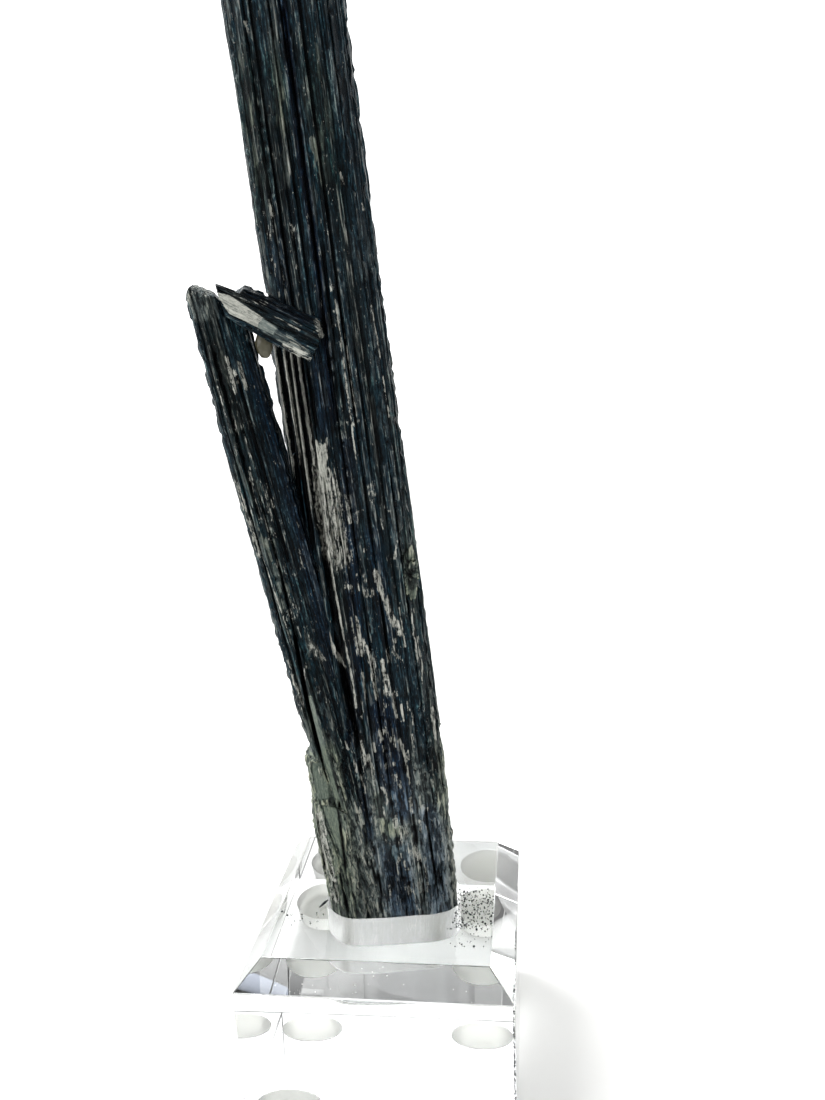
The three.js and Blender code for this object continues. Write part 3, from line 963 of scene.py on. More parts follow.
                # painted shade: the crest share falls in the groove, so the finish paints it black
                crest = crest * (1 - np.minimum(1, share / self.BLACK))
            elif stroke.bloom is Bloom.FRESH:
                patina[..., Bloom.WEATHERED.value] *= 1 - share
            else:
                channel = stroke.bloom.value
                patina[..., channel] = np.maximum(patina[..., channel], share)
            if isinstance(stroke, Facet):
                flat = np.clip(share / stroke.strength, 0, 1)
                y = mix(y, self.around(y, *self.SMOOTHED), flat)
                crest = mix(crest, 0.5, flat)
        for cleft in CLEFTS:
            pressed = np.where(facing, cleft.press(x, y, z), y)
            # painted shade: the crest share falls in the cleft, so the finish paints it black
            crest = crest * (1 - np.clip((pressed - y) / self.CLEFT_BLACK, 0, 1))
            y = pressed
        x, y, z = POCKET.trim(x, y, z)
        return on_block(np.stack([x, y, z], axis=-1)), crest, patina

    # ---- the piece
    def build(self) -> Piece:
        """Wraps a grid round the crystal, closes it and dresses it.

        Returns:
            The finished piece.
        """
        places, crest, patina, strand = self.skin()
        rows, columns = crest.shape
        let_go()
        bpy.ops.mesh.primitive_grid_add(x_subdivisions=columns - 1, y_subdivisions=rows - 1, size=1)
        piece = named(self.name)
        flat = corners_of(piece)
        column = np.round((flat[:, 0] + 0.5) * (columns - 1)).astype(int)
        row = np.round((flat[:, 1] + 0.5) * (rows - 1)).astype(int)
        move_corners(piece, places[row, column])
        keep(piece, crest=crest[row, column], strand=strand[row, column], patina=patina[row, column])
        edit(piece)
        bpy.ops.mesh.remove_doubles(threshold=self.MERGED * MM)
        bpy.ops.mesh.select_all(action="SELECT")
        bpy.ops.mesh.fill_holes(sides=0)
        turn_out()
        smooth(piece, self.SHARP)
        left, front = (math.radians(angle) for angle in self.lean)
        foot = Vector(on_block(np.array(self.at)))
        piece.data.materials.append(self.finish.material(foot, (front, -left, TURN)))
        return piece


POCKET = Pocket()

MAIN = Crystal(
    name="main_crystal", seed=3, at=(1.9, 0, 0), lean=(4.55, 0), start=-14.5, end=196, breaks=9,
    relief=0.75, furrow=(0.35, 0.9),
    plan=(
        (-10.3, 0.4, 2), (-9.1, -3.5, 2), (-5.7, -5.7, 4), (0.2, -6.3, 5), (7.9, -5.7, 2), (10.1, -3.3, 2),
        (10.6, 0.6, 2), (9.2, 4.2, 3), (5.4, 6.2, 5), (-2.4, 6.5, 3), (-7.6, 4.9, 2), (-9.7, 2.8, 1),
    ),
    waist=(
        (-14.5, 1, 1), (0, 1.03, 1), (12, 1.08, 1), (36, 1.09, 1.02), (60, 1.055, 1.01), (110, 1.02, 1),
        (196, 0.98, 0.97),
    ),
    tips=(
        ((-14, -5.7), (-9, 9), 176, 0.9, 0.5), ((-5.8, -1.9), (-9, 9), 186, 0.5, 0.7),
        ((-2.0, 3.6), (-9, 9), 193.5, 0.75, 0.25), ((3.5, 7.4), (-9, 9), 189.5, -0.9, 0.45),
        ((7.3, 14), (-9, 9), 180, -1.3, 0.3), ((-14, 14), (-9, -1.5), 190.5, 0, 1.9),
        ((-14, 14), (1.0, 9), 188.5, 0, -1.7), ((-14, -1.0), (2.5, 9), 172, 0.35, -0.5),
    ),
    rows=((-14.5, 4.0), (-2.5, 0.62), (88.0, 0.85), (165.0, 1.2)), tip_from=160.0,
    strips=(0.15, 0.27), strand=0.52,
    missing=((-7.9, 1.5, 112.0, 118.4), (-9.5, 9.0, 116.0, 200.0)),
    strokes=(
        # the corroded patch, the lines below it and worn spots; the one from x -10 at z 57.5 is a painted
        # glint
        *streaks(
            Bloom.RUBBED, (1.4, 1.0, -9.1, 91.5, -8.8, 84), (0.4, 0.9, -9.7, 93, -9.5, 90),
            (0.4, 0.9, -8.0, 92.5, -8.2, 89), (4.2, 0.75, -8.8, 86, -8.2, 78, -7.2, 71.5),
            (0.35, 0.95, -8.9, 72, -7.5, 60, -6.2, 50, -5.6, 43), (0.7, 0.75, -5.2, 83, -4.7, 78),
            (0.7, 0.9, -10.0, 57.5, -8.9, 53.5, -7.4, 50.8), (0.6, 0.65, -1.2, 84.5, -0.8, 81.5),
            (0.7, 0.78, -3.8, 56, -2.4, 52.5), (0.5, 0.75, 0.8, 81, 2.2, 79.5),
            (0.6, 0.8, 1.6, 53.5, 3.2, 51.5), (0.7, 0.82, -2.7, 52.5, -1.7, 45),
            (0.8, 0.78, -0.4, 52, 0.3, 45), (0.4, 0.8, -4.2, 50, -3.6, 44), (0.35, 0.78, 3.2, 62, 3.9, 54),
            (0.5, 0.75, 3.4, 74, 2.8, 71), (0.9, 0.6, 0.6, 29, 2.0, 26.5), (1.1, 0.86, 3.9, 13.2, 4.9, 10.8),
        ),
        *streaks(Bloom.RUBBED, (0.5, 0.7, -10.4, 90, -9.6, 68), taper=5),
        # thin pale lines along the ribs, painted highlights on their crests
        *streaks(
            Bloom.RUBBED, (0.3, 0.78, -5.0, 116, -3.0, 88), (0.2, 0.75, -4.1, 114, -2.5, 95),
            (0.3, 0.8, 0.8, 115, 2.0, 106), (0.3, 0.75, 2.2, 103, 3.0, 96),
            (0.35, 0.85, -14.9, 132, -14.5, 129), (0.6, 0.72, -16.6, 158.5, -15.9, 156.5),
            (0.5, 0.75, -13.7, 139, -13.2, 138), (0.35, 0.75, -3.2, 136, -2.6, 134),
            (0.35, 0.75, 0.2, 131, 0.6, 129.5),
        ),
        # pale ribs and black grooves under the bridge: painted highlights on the ribs, and grooves cut and
        # painted black as shade
        *(Stroke(Bloom.RUBBED, ((x, 114), (x + 2.4, low)), 0.38, 1.1, taper=9)
          for x, low in ((-16.3, 80), (-14.8, 84), (-13.5, 76), (-12.4, 82))),
        *(Stroke(Bloom.GROOVE, ((x, 112), (x + 2.6, low)), 0.55, 1.2, taper=7)
          for x, low in ((-15.5, 76), (-14.0, 71), (-12.9, 74), (-11.8, 66))),
        # patches broken into strands, by the share of the strands that carry them
        *(Stroke(Bloom.RUBBED, line, width, strength, broken) for broken, width, strength, line in (
            (0.75, 1.5, 0.8, ((-5.6, 65.8), (-1.9, 64.8))), (0.8, 1.3, 0.78, ((-5.0, 60.0), (-4.2, 53.5))),
            (0.85, 1.1, 0.8, ((-0.8, 68.5), (0.6, 64), (1.4, 61), (3.2, 57))),
            (0.6, 0.8, 0.78, ((5.5, 61), (6.9, 47))), (0.4, 1.8, 0.6, ((-15.5, 131), (-13.8, 117))),
            (0.3, 1.4, 0.55, ((-11.5, 128), (-10.3, 117))), (0.12, 6.0, 0.6, ((-2.5, 86), (1.0, 44))),
            (0.16, 10.0, 0.66, ((0.0, 48), (1.5, 2))), (0.6, 2.6, 0.7, ((-8.5, 15), (-5.5, 3))),
            (0.4, 3.0, 0.6, ((-0.8, 23), (0.8, 13))), (0.08, 6.5, 0.55, ((-7.0, 126), (-4.0, 96))),
        )),
        # dashes
        *(Stroke(Bloom.RUBBED, ((x, z), (x + slant, z - long)), width, 0.86) for x, z, slant, long, width in (
            (-8.1, 36.2, 0.8, 3.0, 0.5), (-7.1, 34.0, 0.9, 4.0, 0.5), (-5.1, 36.5, 0.6, 4.5, 0.5),
            (-4.0, 33.0, 0.9, 3.2, 0.7), (-2.9, 36.0, 0.4, 2.4, 0.4), (-1.7, 38.6, 0.6, 2.0, 0.5),
            (1.3, 43.2, 0.5, 2.6, 0.5), (2.6, 43.2, 0.4, 3.2, 0.4), (1.9, 36.2, 1.1, 3.6, 0.6),
            (-0.4, 38.8, 0.4, 2.2, 0.4), (3.0, 31.5, 0.6, 4.5, 0.4), (-5.6, 29.0, 0.9, 3.4, 0.45),
            (-1.6, 26.5, 0.8, 2.2, 0.6), (3.4, 23.5, 0.4, 2.6, 0.5), (8.4, 41.5, 0.5, 6.5, 0.6),
        )),
        # grooves, cut and painted black as shade: below the corroded patch, along the left edge, and at the
        # foot
        *streaks(Bloom.GROOVE, (0.35, 0.6, -9.0, 88, -8.6, 80, -7.4, 68), broken=0.7, taper=4),
        *streaks(Bloom.GROOVE, (0.3, 0.5, -7.4, 84, -6.2, 70), broken=0.6, taper=3),
        *streaks(Bloom.GROOVE, (0.45, 0.6, -10.7, 108, -9.3, 92), taper=4),
        *streaks(Bloom.GROOVE, (0.4, 0.4, -6.8, 130, -5.3, 96), taper=6),
        *streaks(Bloom.GROOVE, (0.5, 0.8, -10.2, 88, -9.3, 70, -8.2, 56), taper=5),
        *(Stroke(Bloom.GROOVE, line, 0.3, 0.65, broken=0.8, taper=3) for line in (
            ((-6.3, 25), (-5.0, 14), (-3.6, 4)), ((-4.1, 15), (-2.6, 1)), ((3.6, 25), (4.6, 12)),
            ((6.2, 23), (6.9, 15), (8.4, 0)), ((-8.6, 17), (-7.2, 2)), ((4.9, 12), (5.6, 0)),
        )),
        # fresh skin that runs down into the weathered foot
        *streaks(Bloom.FRESH, (3.2, 1.0, -6.5, 62, -6.0, 16), (6.0, 0.9, 0.5, 62, 0.8, 18), taper=14),
        *streaks(Bloom.FRESH, (3.0, 0.75, 7.5, 62, 8.8, 14), taper=16),
        *streaks(Bloom.FRESH, (2.4, 0.6, -5.8, 27, -4.2, 13), (3.2, 0.45, 6.6, 24, 8.6, -2), taper=5),
        *streaks(Bloom.FRESH, (3.8, 0.55, 0.0, 14, 1.2, -2), taper=4),
        # weathered streaks under the tips, olive and blue blooms
        *streaks(
            Bloom.WEATHERED, (1.6, 0.3, -12.5, 160, -11.5, 135), (2.4, 0.2, -8.5, 155, -5.5, 135),
            (1.4, 0.3, -18.0, 165, -16.5, 135),
        ),
        *streaks(Bloom.OLIVE, (3.0, 1.0, -17.5, 160, -15.0, 122), (3.2, 1.0, -7.5, 160, -3.5, 125), taper=10),
        *streaks(Bloom.OLIVE, (2.2, 1.0, -13.0, 158, -11.0, 138), taper=8),
        *streaks(
            Bloom.OLIVE, (2.8, 0.9, -1.4, 24, 0.4, 12), (4.5, 1.0, -9.5, 28, -8.5, -2),
            (2.6, 0.6, 4.5, 104, 8.5, 40, 10.0, 20), (2.6, 0.9, 5.6, 76, 6.6, 62),
        ),
        *streaks(
            Bloom.BLUE, (1.0, 1.0, -10.7, 165, -9.3, 140, -7.5, 120, -6.5, 96),
            (2.0, 0.9, -4.5, 92, -5.0, 56, -6.5, 36), (2.4, 0.5, -15.0, 132, -13.0, 117),
            (1.6, 0.7, -8.8, 108, -8.2, 94), (2.0, 0.6, -1.0, 76, 1.0, 56), (1.4, 1.0, -7.2, 50, -6.4, 43),
            (4.5, 1.0, -0.5, 42, 1.5, 22), (2.0, 0.8, -5.6, 25, -5.0, 16), (4.5, 0.9, 0.0, 13, 1.5, -2),
            (3.4, 0.7, 7.0, 20, 8.5, -2), (2.0, 0.5, -3.0, 14, -1.0, -2),
        ),
    ),
)
SIDE = Crystal(
    name="side_crystal", seed=17, at=(-3.2, -0.9, 0), lean=(10.7, 1.5), start=-13, end=125, breaks=7,
    relief=0.6, furrow=(0.3, 0.75),
    plan=(
        (-5.3, -0.6, 1), (-4.3, -3.4, 2), (-2.2, -4.6, 1), (-0.5, -4.9, 4), (4.9, -2.0, 1), (5.2, 0.9, 2),
        (3.0, 3.3, 3), (-2.6, 3.4, 2), (-4.9, 1.6, 1),
    ),
    waist=((-13, 0.8, 0.8), (20, 1.02, 0.95), (40, 1.12, 1), (70, 1.06, 1), (100, 1, 1), (125, 0.86, 0.9)),
    tips=(
        ((-8, 8), (-8, 8), 120.0, -0.75, 0), ((0.2, 8), (-8, 8), 113.3, -1.7, 0),
        ((-8, -2.5), (-8, 8), 117.9, 1.45, 0), ((-8, 8), (-8, -2.4), 117.2, -0.75, 1.0),
        ((-8, 8), (1.2, 8), 116.9, -0.75, -0.9),
    ),
    rows=((-13.0, 4.0), (-1.0, 0.6), (123.0, 0.25)), tip_from=104.0, strips=(0.12, 0.2),
    strand=0.7, strand_depth=0.17, dome=1.3,
    strokes=(
        *streaks(
            Bloom.RUBBED, (0.5, 0.8, -23.5, 107.5, -22.5, 101.5), (0.5, 0.78, -21.6, 106.5, -20.8, 102),
            (0.45, 0.8, -21.3, 89, -21.0, 86), (1.0, 0.72, -24.0, 86, -22.2, 79, -21.1, 73),
            (1.0, 0.64, -17.4, 52.5, -15.6, 44), (0.35, 0.8, -14.0, 73.5, -13.6, 70),
            (0.8, 0.6, -29.0, 117, -27.5, 119.5, -25.5, 118), (0.18, 0.7, -25.5, 103, -22.5, 88),
            (0.16, 0.65, -22.5, 98, -18.5, 82), (0.2, 0.65, -19.5, 80, -14.5, 57),
            (0.8, 0.68, -9.6, 22, -8.8, 12), (1.1, 0.66, -13.2, 55.5, -11.0, 52.5),
            (0.22, 0.8, -20.4, 73, -16.3, 56),
        ),
        *streaks(Bloom.RUBBED, (4.0, 0.55, -24.0, 112, -14.0, 45), broken=0.05),
        *streaks(Bloom.RUBBED, (3.4, 0.5, -20.0, 86, -12.0, 48), broken=0.35),
        *streaks(
            Bloom.GROOVE, (0.4, 0.6, -22.0, 104, -19.0, 88, -16.0, 72),
            (0.35, 0.5, -25.5, 108, -22.5, 92, -20.3, 80),
        ),
        *streaks(Bloom.WEATHERED, (3.0, 0.5, -27.8, 119, -27.0, 115)),
        Facet(Bloom.WEATHERED, ((-14.6, 46), (-13.6, 46), (-9.2, 21.5), (-10.3, 21.5)), 0.4, 2.1),
        *streaks(Bloom.WEATHERED, (2.4, 0.26, -20.5, 84, -15.0, 52), taper=8),
        *streaks(Bloom.FRESH, (2.8, 0.95, -9.0, 62, -6.5, 16), taper=14),
        *streaks(Bloom.GROOVE, (0.36, 0.9, -10.0, 25, -9.2, 8), taper=3),
        *streaks(
            Bloom.OLIVE, (2.4, 0.55, -26.0, 110, -20.0, 80, -14.5, 50, -12.0, 30),
            (4.0, 1.0, -11.0, 34, -9.5, 0),
        ),
        *streaks(Bloom.BLUE, (1.9, 0.7, -19.5, 106, -13.0, 75, -9.5, 50)),
    ),
)
BRIDGE = Crystal(
    name="bridge_crystal", seed=29, at=(-8.5, -6.5, 108.4), lean=(60.8, 0), start=0, end=20, breaks=1,
    relief=0.4, furrow=(0.2, 0.5),
    plan=(
        (-3.1, 0.2, 1), (-2.7, -1.8, 2), (0.6, -3.0, 3), (3.7, -1.9, 1), (4.4, 0.4, 1), (3.0, 2.5, 3),
        (-1.8, 2.6, 1),
    ),
    waist=((0, 1, 1), (8, 1, 1), (14, 0.9, 1), (20, 0.7, 0.9)),
    tips=(
        ((-6, 1.9), (-6, 6), 15.6, 0.92, 0), ((1.7, 7), (-6, 6), 14.6, -0.35, 0.3),
        ((-6, 7), (-6, -0.4), 17.6, 0, 1.1),
    ),
    rows=((0.0, 0.22),), tip_from=11.0, strips=(0.1, 0.16), strand=0.6, strand_depth=0.14, base_rings=16,
    strokes=(
        Facet(Bloom.RUBBED, ((-24.4, 117.9), (-22.0, 117.3), (-16.8, 113.5), (-18.0, 112.0), (-22.4, 114.4)),
              strength=1.2),
        Facet(Bloom.WEATHERED, ((-17.0, 113.6), (-14.6, 111.8), (-15.4, 110.6), (-18.0, 112.0)),
              strength=2.2),
        *streaks(Bloom.WEATHERED, (1.3, 0.6, -16.5, 111.8, -10.5, 107.8)),
        *streaks(
            Bloom.RUBBED, (1.4, 0.78, -13.5, 108.6, -8.0, 105.4), (0.8, 0.75, -8.3, 112.6, -7.6, 110.2),
            (0.3, 0.75, -15.0, 113.6, -11.0, 111.2),
        ),
        *streaks(Bloom.RUBBED, (2.2, 0.55, -20.0, 116.9, -12.0, 113.5), broken=0.1),
        *streaks(Bloom.BLUE, (1.4, 0.7, -19.0, 117.2, -10.0, 113.0)),
    ),
)
SLAB_STROKES = (
    Facet(Bloom.WEATHERED, ((-15.2, 35.2), (-12.3, 35.2), (-12.2, 32.6), (-15.2, 32.4)), strength=2.4),
    Facet(Bloom.WEATHERED, ((-14.9, 31.9), (-12.2, 31.9), (-10.9, 24.4), (-14.2, 24.2)), strength=1.8),
    Facet(Bloom.WEATHERED, ((-13.3, 23.0), (-10.6, 23.0), (-9.2, 13.0), (-9.6, 10.8)), strength=2.05),
    Stroke(Bloom.RUBBED, ((-14.0, 21), (-12.0, 2)), 1.8, 0.72),
    *(Stroke(Bloom.GROOVE, line, 0.32, 0.8, broken=0.85, taper=3) for line in (
        ((-10.3, 25), (-9.4, 8)), ((-12.8, 12), (-11.2, 0)), ((-10.9, 10), (-9.4, -1)),
        ((-14.4, 22), (-13.4, 6)),
    )),
    Stroke(Bloom.OLIVE, ((-13.0, 36), (-11.5, 0)), 6.0, 1.0),
)
LOWER_SLAB = Crystal(
    name="lower_slab", seed=41, at=(0, 0, 0), lean=(5.1, 0), start=-14.5, end=24.4, breaks=1, relief=0.3,
    furrow=(0.2, 0.4),
    plan=(
        (-13.7, -0.4, 1), (-12.9, -3.4, 1), (-10.3, -6.0, 3), (-6, -6.2, 0), (-4, 2, 0), (-9, 4.9, 2),
        (-12.6, 3.4, 1),
    ),
    waist=((-14.5, 0.98, 1), (4, 1, 1), (16, 1.06, 1), (24.4, 1.04, 1)),
    tips=(((-16, 0), (-9, 9), 23.0, -0.5, 0),),
    rows=((-14.5, 4.0), (-2.5, 0.4)), tip_from=16.0, strips=(0.14, 0.3), strand=1.1, strand_depth=0.12,
    grit=0.14, strokes=SLAB_STROKES,
)
UPPER_SLAB = replace(
    LOWER_SLAB, name="upper_slab", seed=43, start=10, end=36,
    plan=(
        (-13.1, -0.2, 1), (-12.6, -3.2, 1), (-11.2, -5.3, 1), (-8.4, -5.4, 0), (-4, 2, 0), (-9, 4.4, 2),
        (-12.2, 2.8, 1),
    ),
    waist=((10, 1.04, 1), (36, 1.05, 1)), tips=(((-16, 0), (-9, 9), 34.4, 0.12, 0.1),),
    rows=((10.0, 0.4),), tip_from=28.0,
)


@dataclass(frozen=True)
class Lump:
    """A small rough mass on the cluster: a crust of grains, a splinter, or a crystal of another mineral."""

    name: str
    at: Triple
    size: Triple
    finish: TarnishedStibnite | Plain
    facets: int  # subdivisions of the ball it starts from
    rough: float  # share of its radius
    bump: float = 0.9  # width of its bumps
    turns: Pair = (0.4, 0.3)  # radians about X and Y
    heading: float = 0.0  # radians about Z, once it has its size
    patina: Quad = (0.2, 1.0, 0.0, 0.6)  # how rubbed, olive, blue and weathered it is

    def build(self) -> Piece:
        """Roughens a ball into the lump, and returns the piece."""
        let_go()
        bpy.ops.mesh.primitive_ico_sphere_add(subdivisions=self.facets, radius=1)
        piece = named(self.name)
        ball = corners_of(piece)
        across, along = (ball[:, 0] - ball[:, 1]) * self.size[0], ball[:, 2] * self.size[2]
        swell = 1 - self.rough * noise(across / self.bump, along / self.bump, 5)
        swell -= 0.5 * self.rough * noise(across / self.bump * 3, along / self.bump * 3, 6)
        about_x, about_y = (np.array(Matrix.Rotation(t, 3, axis)).T for t, axis in zip(self.turns, "XY"))
        shape = ball @ about_x @ about_y * swell[:, None] * self.size
        heading = np.array(Matrix.Rotation(self.heading, 3, "Z")).T
        move_corners(piece, on_block(shape @ heading + np.array(self.at)))
        # crest: the lump's bumps, from which a stibnite finish paints its hollows black as shade and its tops
        # grey as highlights
        keep(piece, crest=np.clip(0.5 + 1.6 * (swell - swell.mean()) / self.rough, 0, 1),
             strand=noise(ball[:, 0] * 5, ball[:, 2] * 5, 7), patina=np.tile(self.patina, (len(ball), 1)))
        if self.facets > 2:
            smooth(piece, 40)
        foot = Vector(on_block(np.array(self.at)))
        grain = (foot, (0, 0, 0)) if isinstance(self.finish, TarnishedStibnite) else ()
        piece.data.materials.append(self.finish.material(*grain))
        return piece


@dataclass(frozen=True)
class Cluster:
    """The stibnite: crystals grown together, a crust, a small olive crystal and a splinter at their foot."""

    crystals: tuple[Crystal, ...] = (MAIN, SIDE, BRIDGE, LOWER_SLAB, UPPER_SLAB)
    lumps: tuple[Lump, ...] = (
        Lump("crust", (5.4, -4.7, 68), (1.9, 1.5, 6.2), CRUSTED_STIBNITE, 6, 0.45, 0.6),
        Lump("olive_crystal", (-17.4, -5.2, 109.0), (1.8, 1.3, 3.0), OLIVE_CRYSTAL, 2, 0.25, 2.5),
        Lump("splinter", (-14.4, -2.3, 0.45), (2.0, 0.45, 0.4), STIBNITE_DUST, 3, 0.5, heading=0.9),
    )

    def build(self) -> None:
        """Builds the crystals and the lumps in place of the solid cluster."""
        for form in (*self.crystals, *self.lumps):
            piece = form.build()
            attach(piece, "root")
            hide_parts("stibnite_cluster")
            report(piece)


# ------------------------------------------------------------------------------------ the stand
@dataclass(frozen=True)
class Block:
    """The clear acrylic block, its top edges chamfered, with the frosted pocket that holds the crystals."""

    chamfer: float = 4.5  # as wide as it is high
    edge: float = 0.18  # how far the polished edges are rounded
    corner: float = 1.2  # rounding at the pocket's floor
    above: float = 2.0  # how far the milling tool sticks out of the block
    sharp: float = 20.0  # degrees from which an edge is polished
    middle: float = 15.0  # the pocket's walls lie nearer than this to its middle
    plane: float = 60.0  # square millimetres above which a face stays flat

    def build(self) -> None:
        """Builds the block in place of its solid."""
        low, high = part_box("acrylic_block")
        let_go()
        bpy.ops.mesh.primitive_cube_add(size=1, location=(low + high) / 2, scale=high - low)
        piece = named("block")
        bpy.ops.object.transform_apply(location=True, rotation=True, scale=True)
        self.bevel_top(piece, high.z)
        self.round_edges(piece)
        tool = self.pocket_tool()
        modify(piece, "BOOLEAN", operation="DIFFERENCE", solver="MANIFOLD", object=tool)
        bpy.data.objects.remove(tool, do_unlink=True)
        self.finish_pocket(piece, high.z)
        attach(piece, "root")
        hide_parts("acrylic_block")
        report(piece)

    def bevel_top(self, piece: Piece, top: float) -> None:
        """Chamfers the four edges of the top."""
        edit_level(piece, top)
        bpy.ops.mesh.bevel(offset=self.chamfer * MM, offset_type="OFFSET", segments=1, affect="EDGES")
        let_go()

    def round_edges(self, piece: Piece) -> None:
        """Breaks every sharp edge as polishing does."""
        modify(piece, "BEVEL", width=self.edge * MM, segments=2, limit_method="ANGLE",
               angle_limit=math.radians(self.sharp))

    def pocket_tool(self) -> Piece:
        """Makes the shape that the pocket is milled with, with a rounded lower edge."""
        plan = POCKET.outline()
        let_go()
        bpy.ops.mesh.primitive_circle_add(vertices=len(plan), radius=1, fill_type="NGON")
        tool = named("pocket_tool")
        ring = corners_of(tool)
        turns = np.round(np.arctan2(-ring[:, 0], ring[:, 1]) / (2 * math.pi) * len(plan)).astype(int)
        move_corners(tool, on_block(np.column_stack([plan[turns], np.full(len(plan), -POCKET.depth)])))
        edit(tool)
        rise = (0, 0, (POCKET.depth + self.above) * MM)
        bpy.ops.mesh.extrude_region_move(TRANSFORM_OT_translate={"value": rise})
        turn_out()
        edit_level(tool, min(corner.co.z for corner in tool.data.vertices))
        bpy.ops.mesh.bevel(offset=self.corner * MM, segments=4, affect="EDGES")
        let_go()
        return tool

    def finish_pocket(self, piece: Piece, top: float) -> None:
        """Gives the pocket its milled finish and smooths its walls."""
        piece.data.materials.clear()
        piece.data.materials.append(POLISHED_ACRYLIC.material())
        piece.data.materials.append(MILLED_ACRYLIC.material())
        centre = Vector(on_block(np.zeros(3)))
        low, high = top - POCKET.depth * MM - LEVEL, top - LEVEL / 10
        for face in piece.data.polygons:
            away = math.hypot(face.center.x - centre.x, face.center.y - centre.y)
            face.material_index = int(low < face.center.z < high and away < self.middle * MM)
        smooth(piece, 35, flat_over=self.plane)


@dataclass(frozen=True)
class Foot:
    """A clear bumper foot, stuck to the block's underside."""

    draught: float = 0.65  # how much smaller its lower end is, in radius
    rounding: float = 0.9  # of its lower edge
    sides: int = 72
    seat: float = 0.05  # how far its top lies in the block, as the adhesive wets it

    def build(self, node: str, block_bottom: float) -> None:
        """Builds the foot in place of its solid.

        Args:
            node: the solid's name.
            block_bottom: the level of the block's underside.
        """
        low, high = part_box(node)
        radius = (high.x - low.x) / 2
        let_go()
        height = block_bottom + self.seat * MM - low.z
        middle = ((low.x + high.x) / 2, (low.y + high.y) / 2, low.z + height / 2)
        bpy.ops.mesh.primitive_cylinder_add(vertices=self.sides, radius=radius, depth=height, location=middle)
        piece = named(node.replace("foot", "bumper"))
        bpy.ops.object.transform_apply(location=True, rotation=True, scale=True)
        edit_level(piece, low.z)
        shrink = 1 - self.draught * MM / radius
        bpy.ops.transform.resize(value=(shrink, shrink, 1), center_override=middle)
        bpy.ops.mesh.bevel(offset=self.rounding * MM, segments=5, affect="EDGES")
        let_go()
        smooth(piece, 40, flat_over=Block.plane)
        piece.data.materials.append(CLEAR_RUBBER.material())
        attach(piece, "root")
        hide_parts(node)
        report(piece)


@dataclass(frozen=True)
class Crumbs:
    """Grains that lie on the block: stibnite fallen from the crystals, or white dust."""

    name: str
    count: int
    seed: int
    low: Triple  # corners of the box they lie in, millimetres from the block's top middle
    high: Triple
    grain: Pair = (0.1, 0.28)
    gather: float = 1.0  # above 1, they crowd towards the low x
    sloped: bool = False  # whether they lie on the slope from the box's low corner to its high one
    slot: str = "stibnite"
    finish: Plain = STIBNITE_DUST

    def build(self) -> None:
        """Scatters the grains and joins them into one piece."""
        low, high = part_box("acrylic_block")
        middle = Vector(((low.x + high.x) / 2, (low.y + high.y) / 2, high.z))
        let_go()
        grains = []
        for n in range(self.count):
            shares = [float(chance(self.seed, n, axis)) for axis in range(6)]
            shares[0] = shares[0] ** self.gather
            size = mix(*self.grain, shares[3] ** 2) * MM
            flat = (1, mix(0.5, 1, shares[4]), mix(0.4, 1, shares[5]))
            if self.sloped:
                shares[2] = shares[1]
            place = [mix(a, b, share) * MM for a, b, share in zip(self.low, self.high, shares)]
            bpy.ops.mesh.primitive_ico_sphere_add(
                subdivisions=1, radius=size, location=middle + Vector(place) + Vector((0, 0, size * 0.6)),
                rotation=(6 * shares[4], 6 * shares[5], 0), scale=flat,
            )
            grains.append(bpy.context.object)
        for grain in grains:
            grain.select_set(True)
        bpy.ops.object.join()
        piece = named(self.name)
        take(piece)
        bpy.ops.object.transform_apply(location=True, rotation=True, scale=True)
        piece.data.materials.append(self.finish.material())
        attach(piece, "root")
        report(piece)


# ------------------------------------------------------------------------------------ the studio
@dataclass(frozen=True)
class Camera:
    """The camera, by its place in the part's frame, its turns in radians and its focal length."""

    place: Triple = (30.916, -172.054, 150.199)
    yaw: float = -0.129
    pitch: float = -0.247
    roll: float = -0.043
    lens: float = 32.146  # for a sensor as wide as the next number
    sensor: float = 36.0
    nearest: float = 0.005  # metres

    def build(self) -> None:
        """Adds the camera and makes it the scene's."""
        flat = math.cos(self.pitch)
        forward = Vector((math.sin(self.yaw) * flat, math.cos(self.yaw) * flat, math.sin(self.pitch)))
        level = Vector((math.cos(self.yaw), -math.sin(self.yaw), 0))
        upright = level.cross(forward)
        right = level * math.cos(self.roll) + upright * math.sin(self.roll)
        up = right.cross(forward)
        bpy.ops.object.camera_add()
        camera = bpy.context.object
        turn = Matrix((right, up, -forward)).transposed().to_4x4()
        camera.matrix_world = Matrix.Translation(Vector(self.place) * MM) @ turn
        camera.data.lens = self.lens
        camera.data.sensor_width = self.sensor
        camera.data.clip_start = self.nearest
        bpy.context.scene.camera = camera


@dataclass(frozen=True)
class Lamp:
    """A soft box, aimed at the specimen."""

    name: str
    place: Triple
    size: float
    power: float
    colour: str = "ffffff"
    aim: Triple = (0.0, 0.0, 0.09)

    def build(self) -> None:
        """Adds the soft box."""
        bpy.ops.object.light_add(type="AREA", location=self.place)
        lamp = bpy.context.object
        lamp.name = self.name
        lamp.data.shape = "DISK"
        lamp.data.size = self.size
        lamp.data.energy = self.power
        lamp.data.color = linear(self.colour)[:3]
        lamp.rotation_euler = (Vector(self.aim) - Vector(self.place)).to_track_quat("-Z", "Y").to_euler()


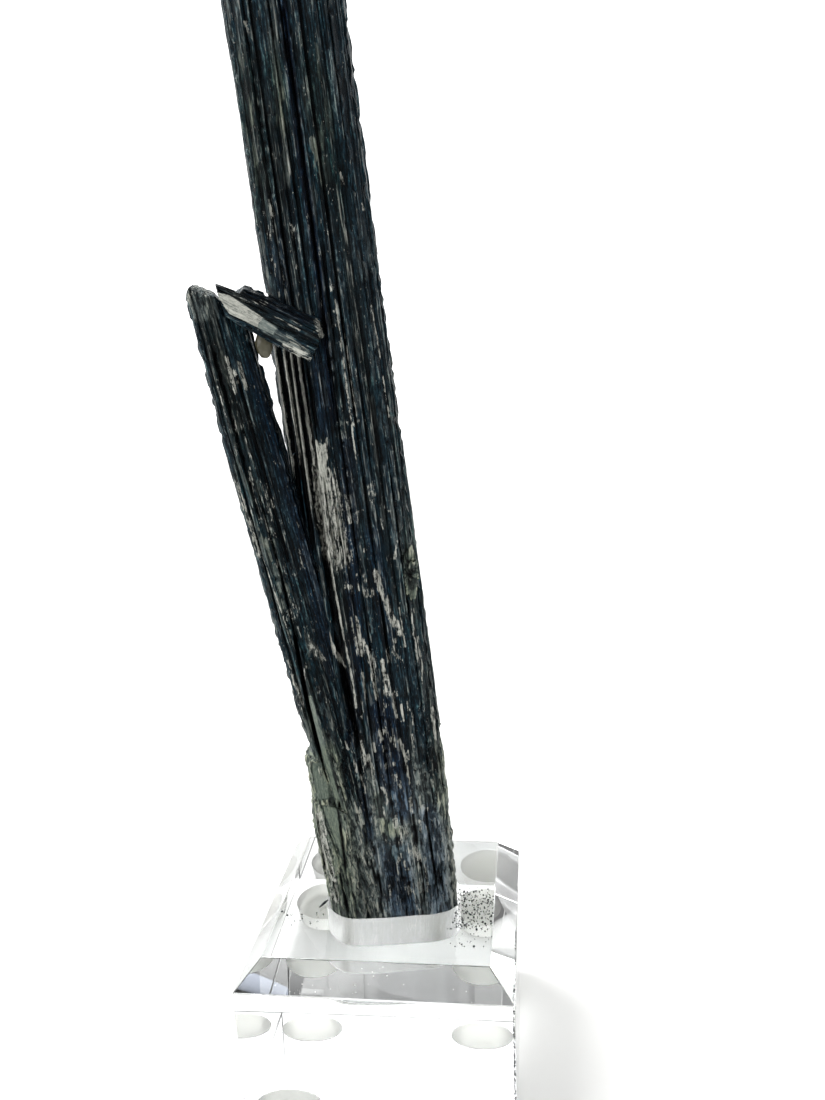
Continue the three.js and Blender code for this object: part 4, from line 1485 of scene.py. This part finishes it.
@dataclass(frozen=True)
class Studio:
    """A white table in a white room, lit softly from above left."""

    lamps: tuple[Lamp, ...] = (
        Lamp("key", (-0.55, 0.3, 0.95), 0.6, 10.0),
        Lamp("fill", (-0.7, -0.7, 0.5), 0.4, 3.0),
        Lamp("skylight", (0.38, 0.14, 1.35), 0.22, 0.1, "d8e4ff"),
    )
    bright_side: Triple = (-0.15, 1.0, 0.1)
    room: Pair = (0.45, 1.7)  # strengths at the dim side and at the bright side
    ceiling: float = 0.43
    ceiling_from: Pair = (0.86, 0.97)  # upward share of a direction where the ceiling fades in
    table: float = 1.6
    gap: float = 0.05  # millimetres under the feet, so that no two faces coincide

    def build(self) -> None:
        """Adds the table, the lamps and the room's light."""
        let_go()
        bpy.ops.mesh.primitive_plane_add(size=self.table, location=(0, 0, -self.gap * MM))
        table = named("table")
        table.data.materials.append(WHITE_PAINT.material())
        for lamp in self.lamps:
            lamp.build()
        self.light_room()
        bpy.context.scene.view_settings.view_transform = "Standard"

    def light_room(self) -> None:
        """Lights the room from its white back and ceiling; the side behind the camera is dim."""
        world = bpy.data.worlds.new("white room")
        bpy.context.scene.world = world
        world.use_nodes = True
        nodes = Nodes(world.node_tree)
        where = nodes.add("ShaderNodeTexCoord").outputs["Generated"]
        toward = nodes.add(
            "ShaderNodeVectorMath", {"operation": "DOT_PRODUCT"}, _0=where, _1=self.bright_side)
        upward = nodes.add("ShaderNodeSeparateXYZ", _0=where).outputs["Z"]
        level = nodes.add(
            "ShaderNodeMix", Factor=nodes.spread(upward, *self.ceiling_from),
            A=nodes.spread(toward.outputs["Value"], -1.0, 1.0, *self.room), B=self.ceiling,
        )
        background = nodes.tree.nodes["Background"]
        nodes.plug(background, "Color", linear("ffffff"))
        nodes.plug(background, "Strength", level.outputs["Result"])


def main() -> None:
    """Builds the specimen and its stand, then the studio round them."""
    Cluster().build()
    Block().build()
    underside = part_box("acrylic_block")[0].z
    for node in ("foot_front_left", "foot_front_right", "foot_rear_left", "foot_rear_right"):
        Foot().build(node, underside)
    top = HALF_BLOCK - Block.chamfer  # to the chamfer, from the middle
    for crumbs in (
        Crumbs("crumbs_right", 330, 1, (13.6, -10.5, 0.0), (top, 1.6, 0.0), grain=(0.08, 0.25)),
        Crumbs("crumbs_scattered", 70, 4, (12.0, -16.0, 0.0), (top, 4.0, 0.0), gather=0.7),
        Crumbs("crumbs_left", 26, 2, (-top, -13.0, 0.0), (-12.0, -7.0, 0.0)),
        Crumbs("crumbs_chamfer", 120, 5, (25.05, -25.0, -4.4), (25.15, -4.0, -4.3), grain=(0.1, 0.22)),
        Crumbs("crumbs_edge", 200, 3, (25.0, -25.15, -31.0), (25.15, -25.0, -5.0), grain=(0.1, 0.22)),
        Crumbs("chamfer_dust", 34, 7, (-19.5, -25.2, -4.3), (19.5, -21.2, -0.3), grain=(0.05, 0.13),
               sloped=True, slot="acrylic", finish=WHITE_DUST),
    ):
        crumbs.build()
    Studio().build()
    Camera().build()


if __name__ == "__main__":
    main()
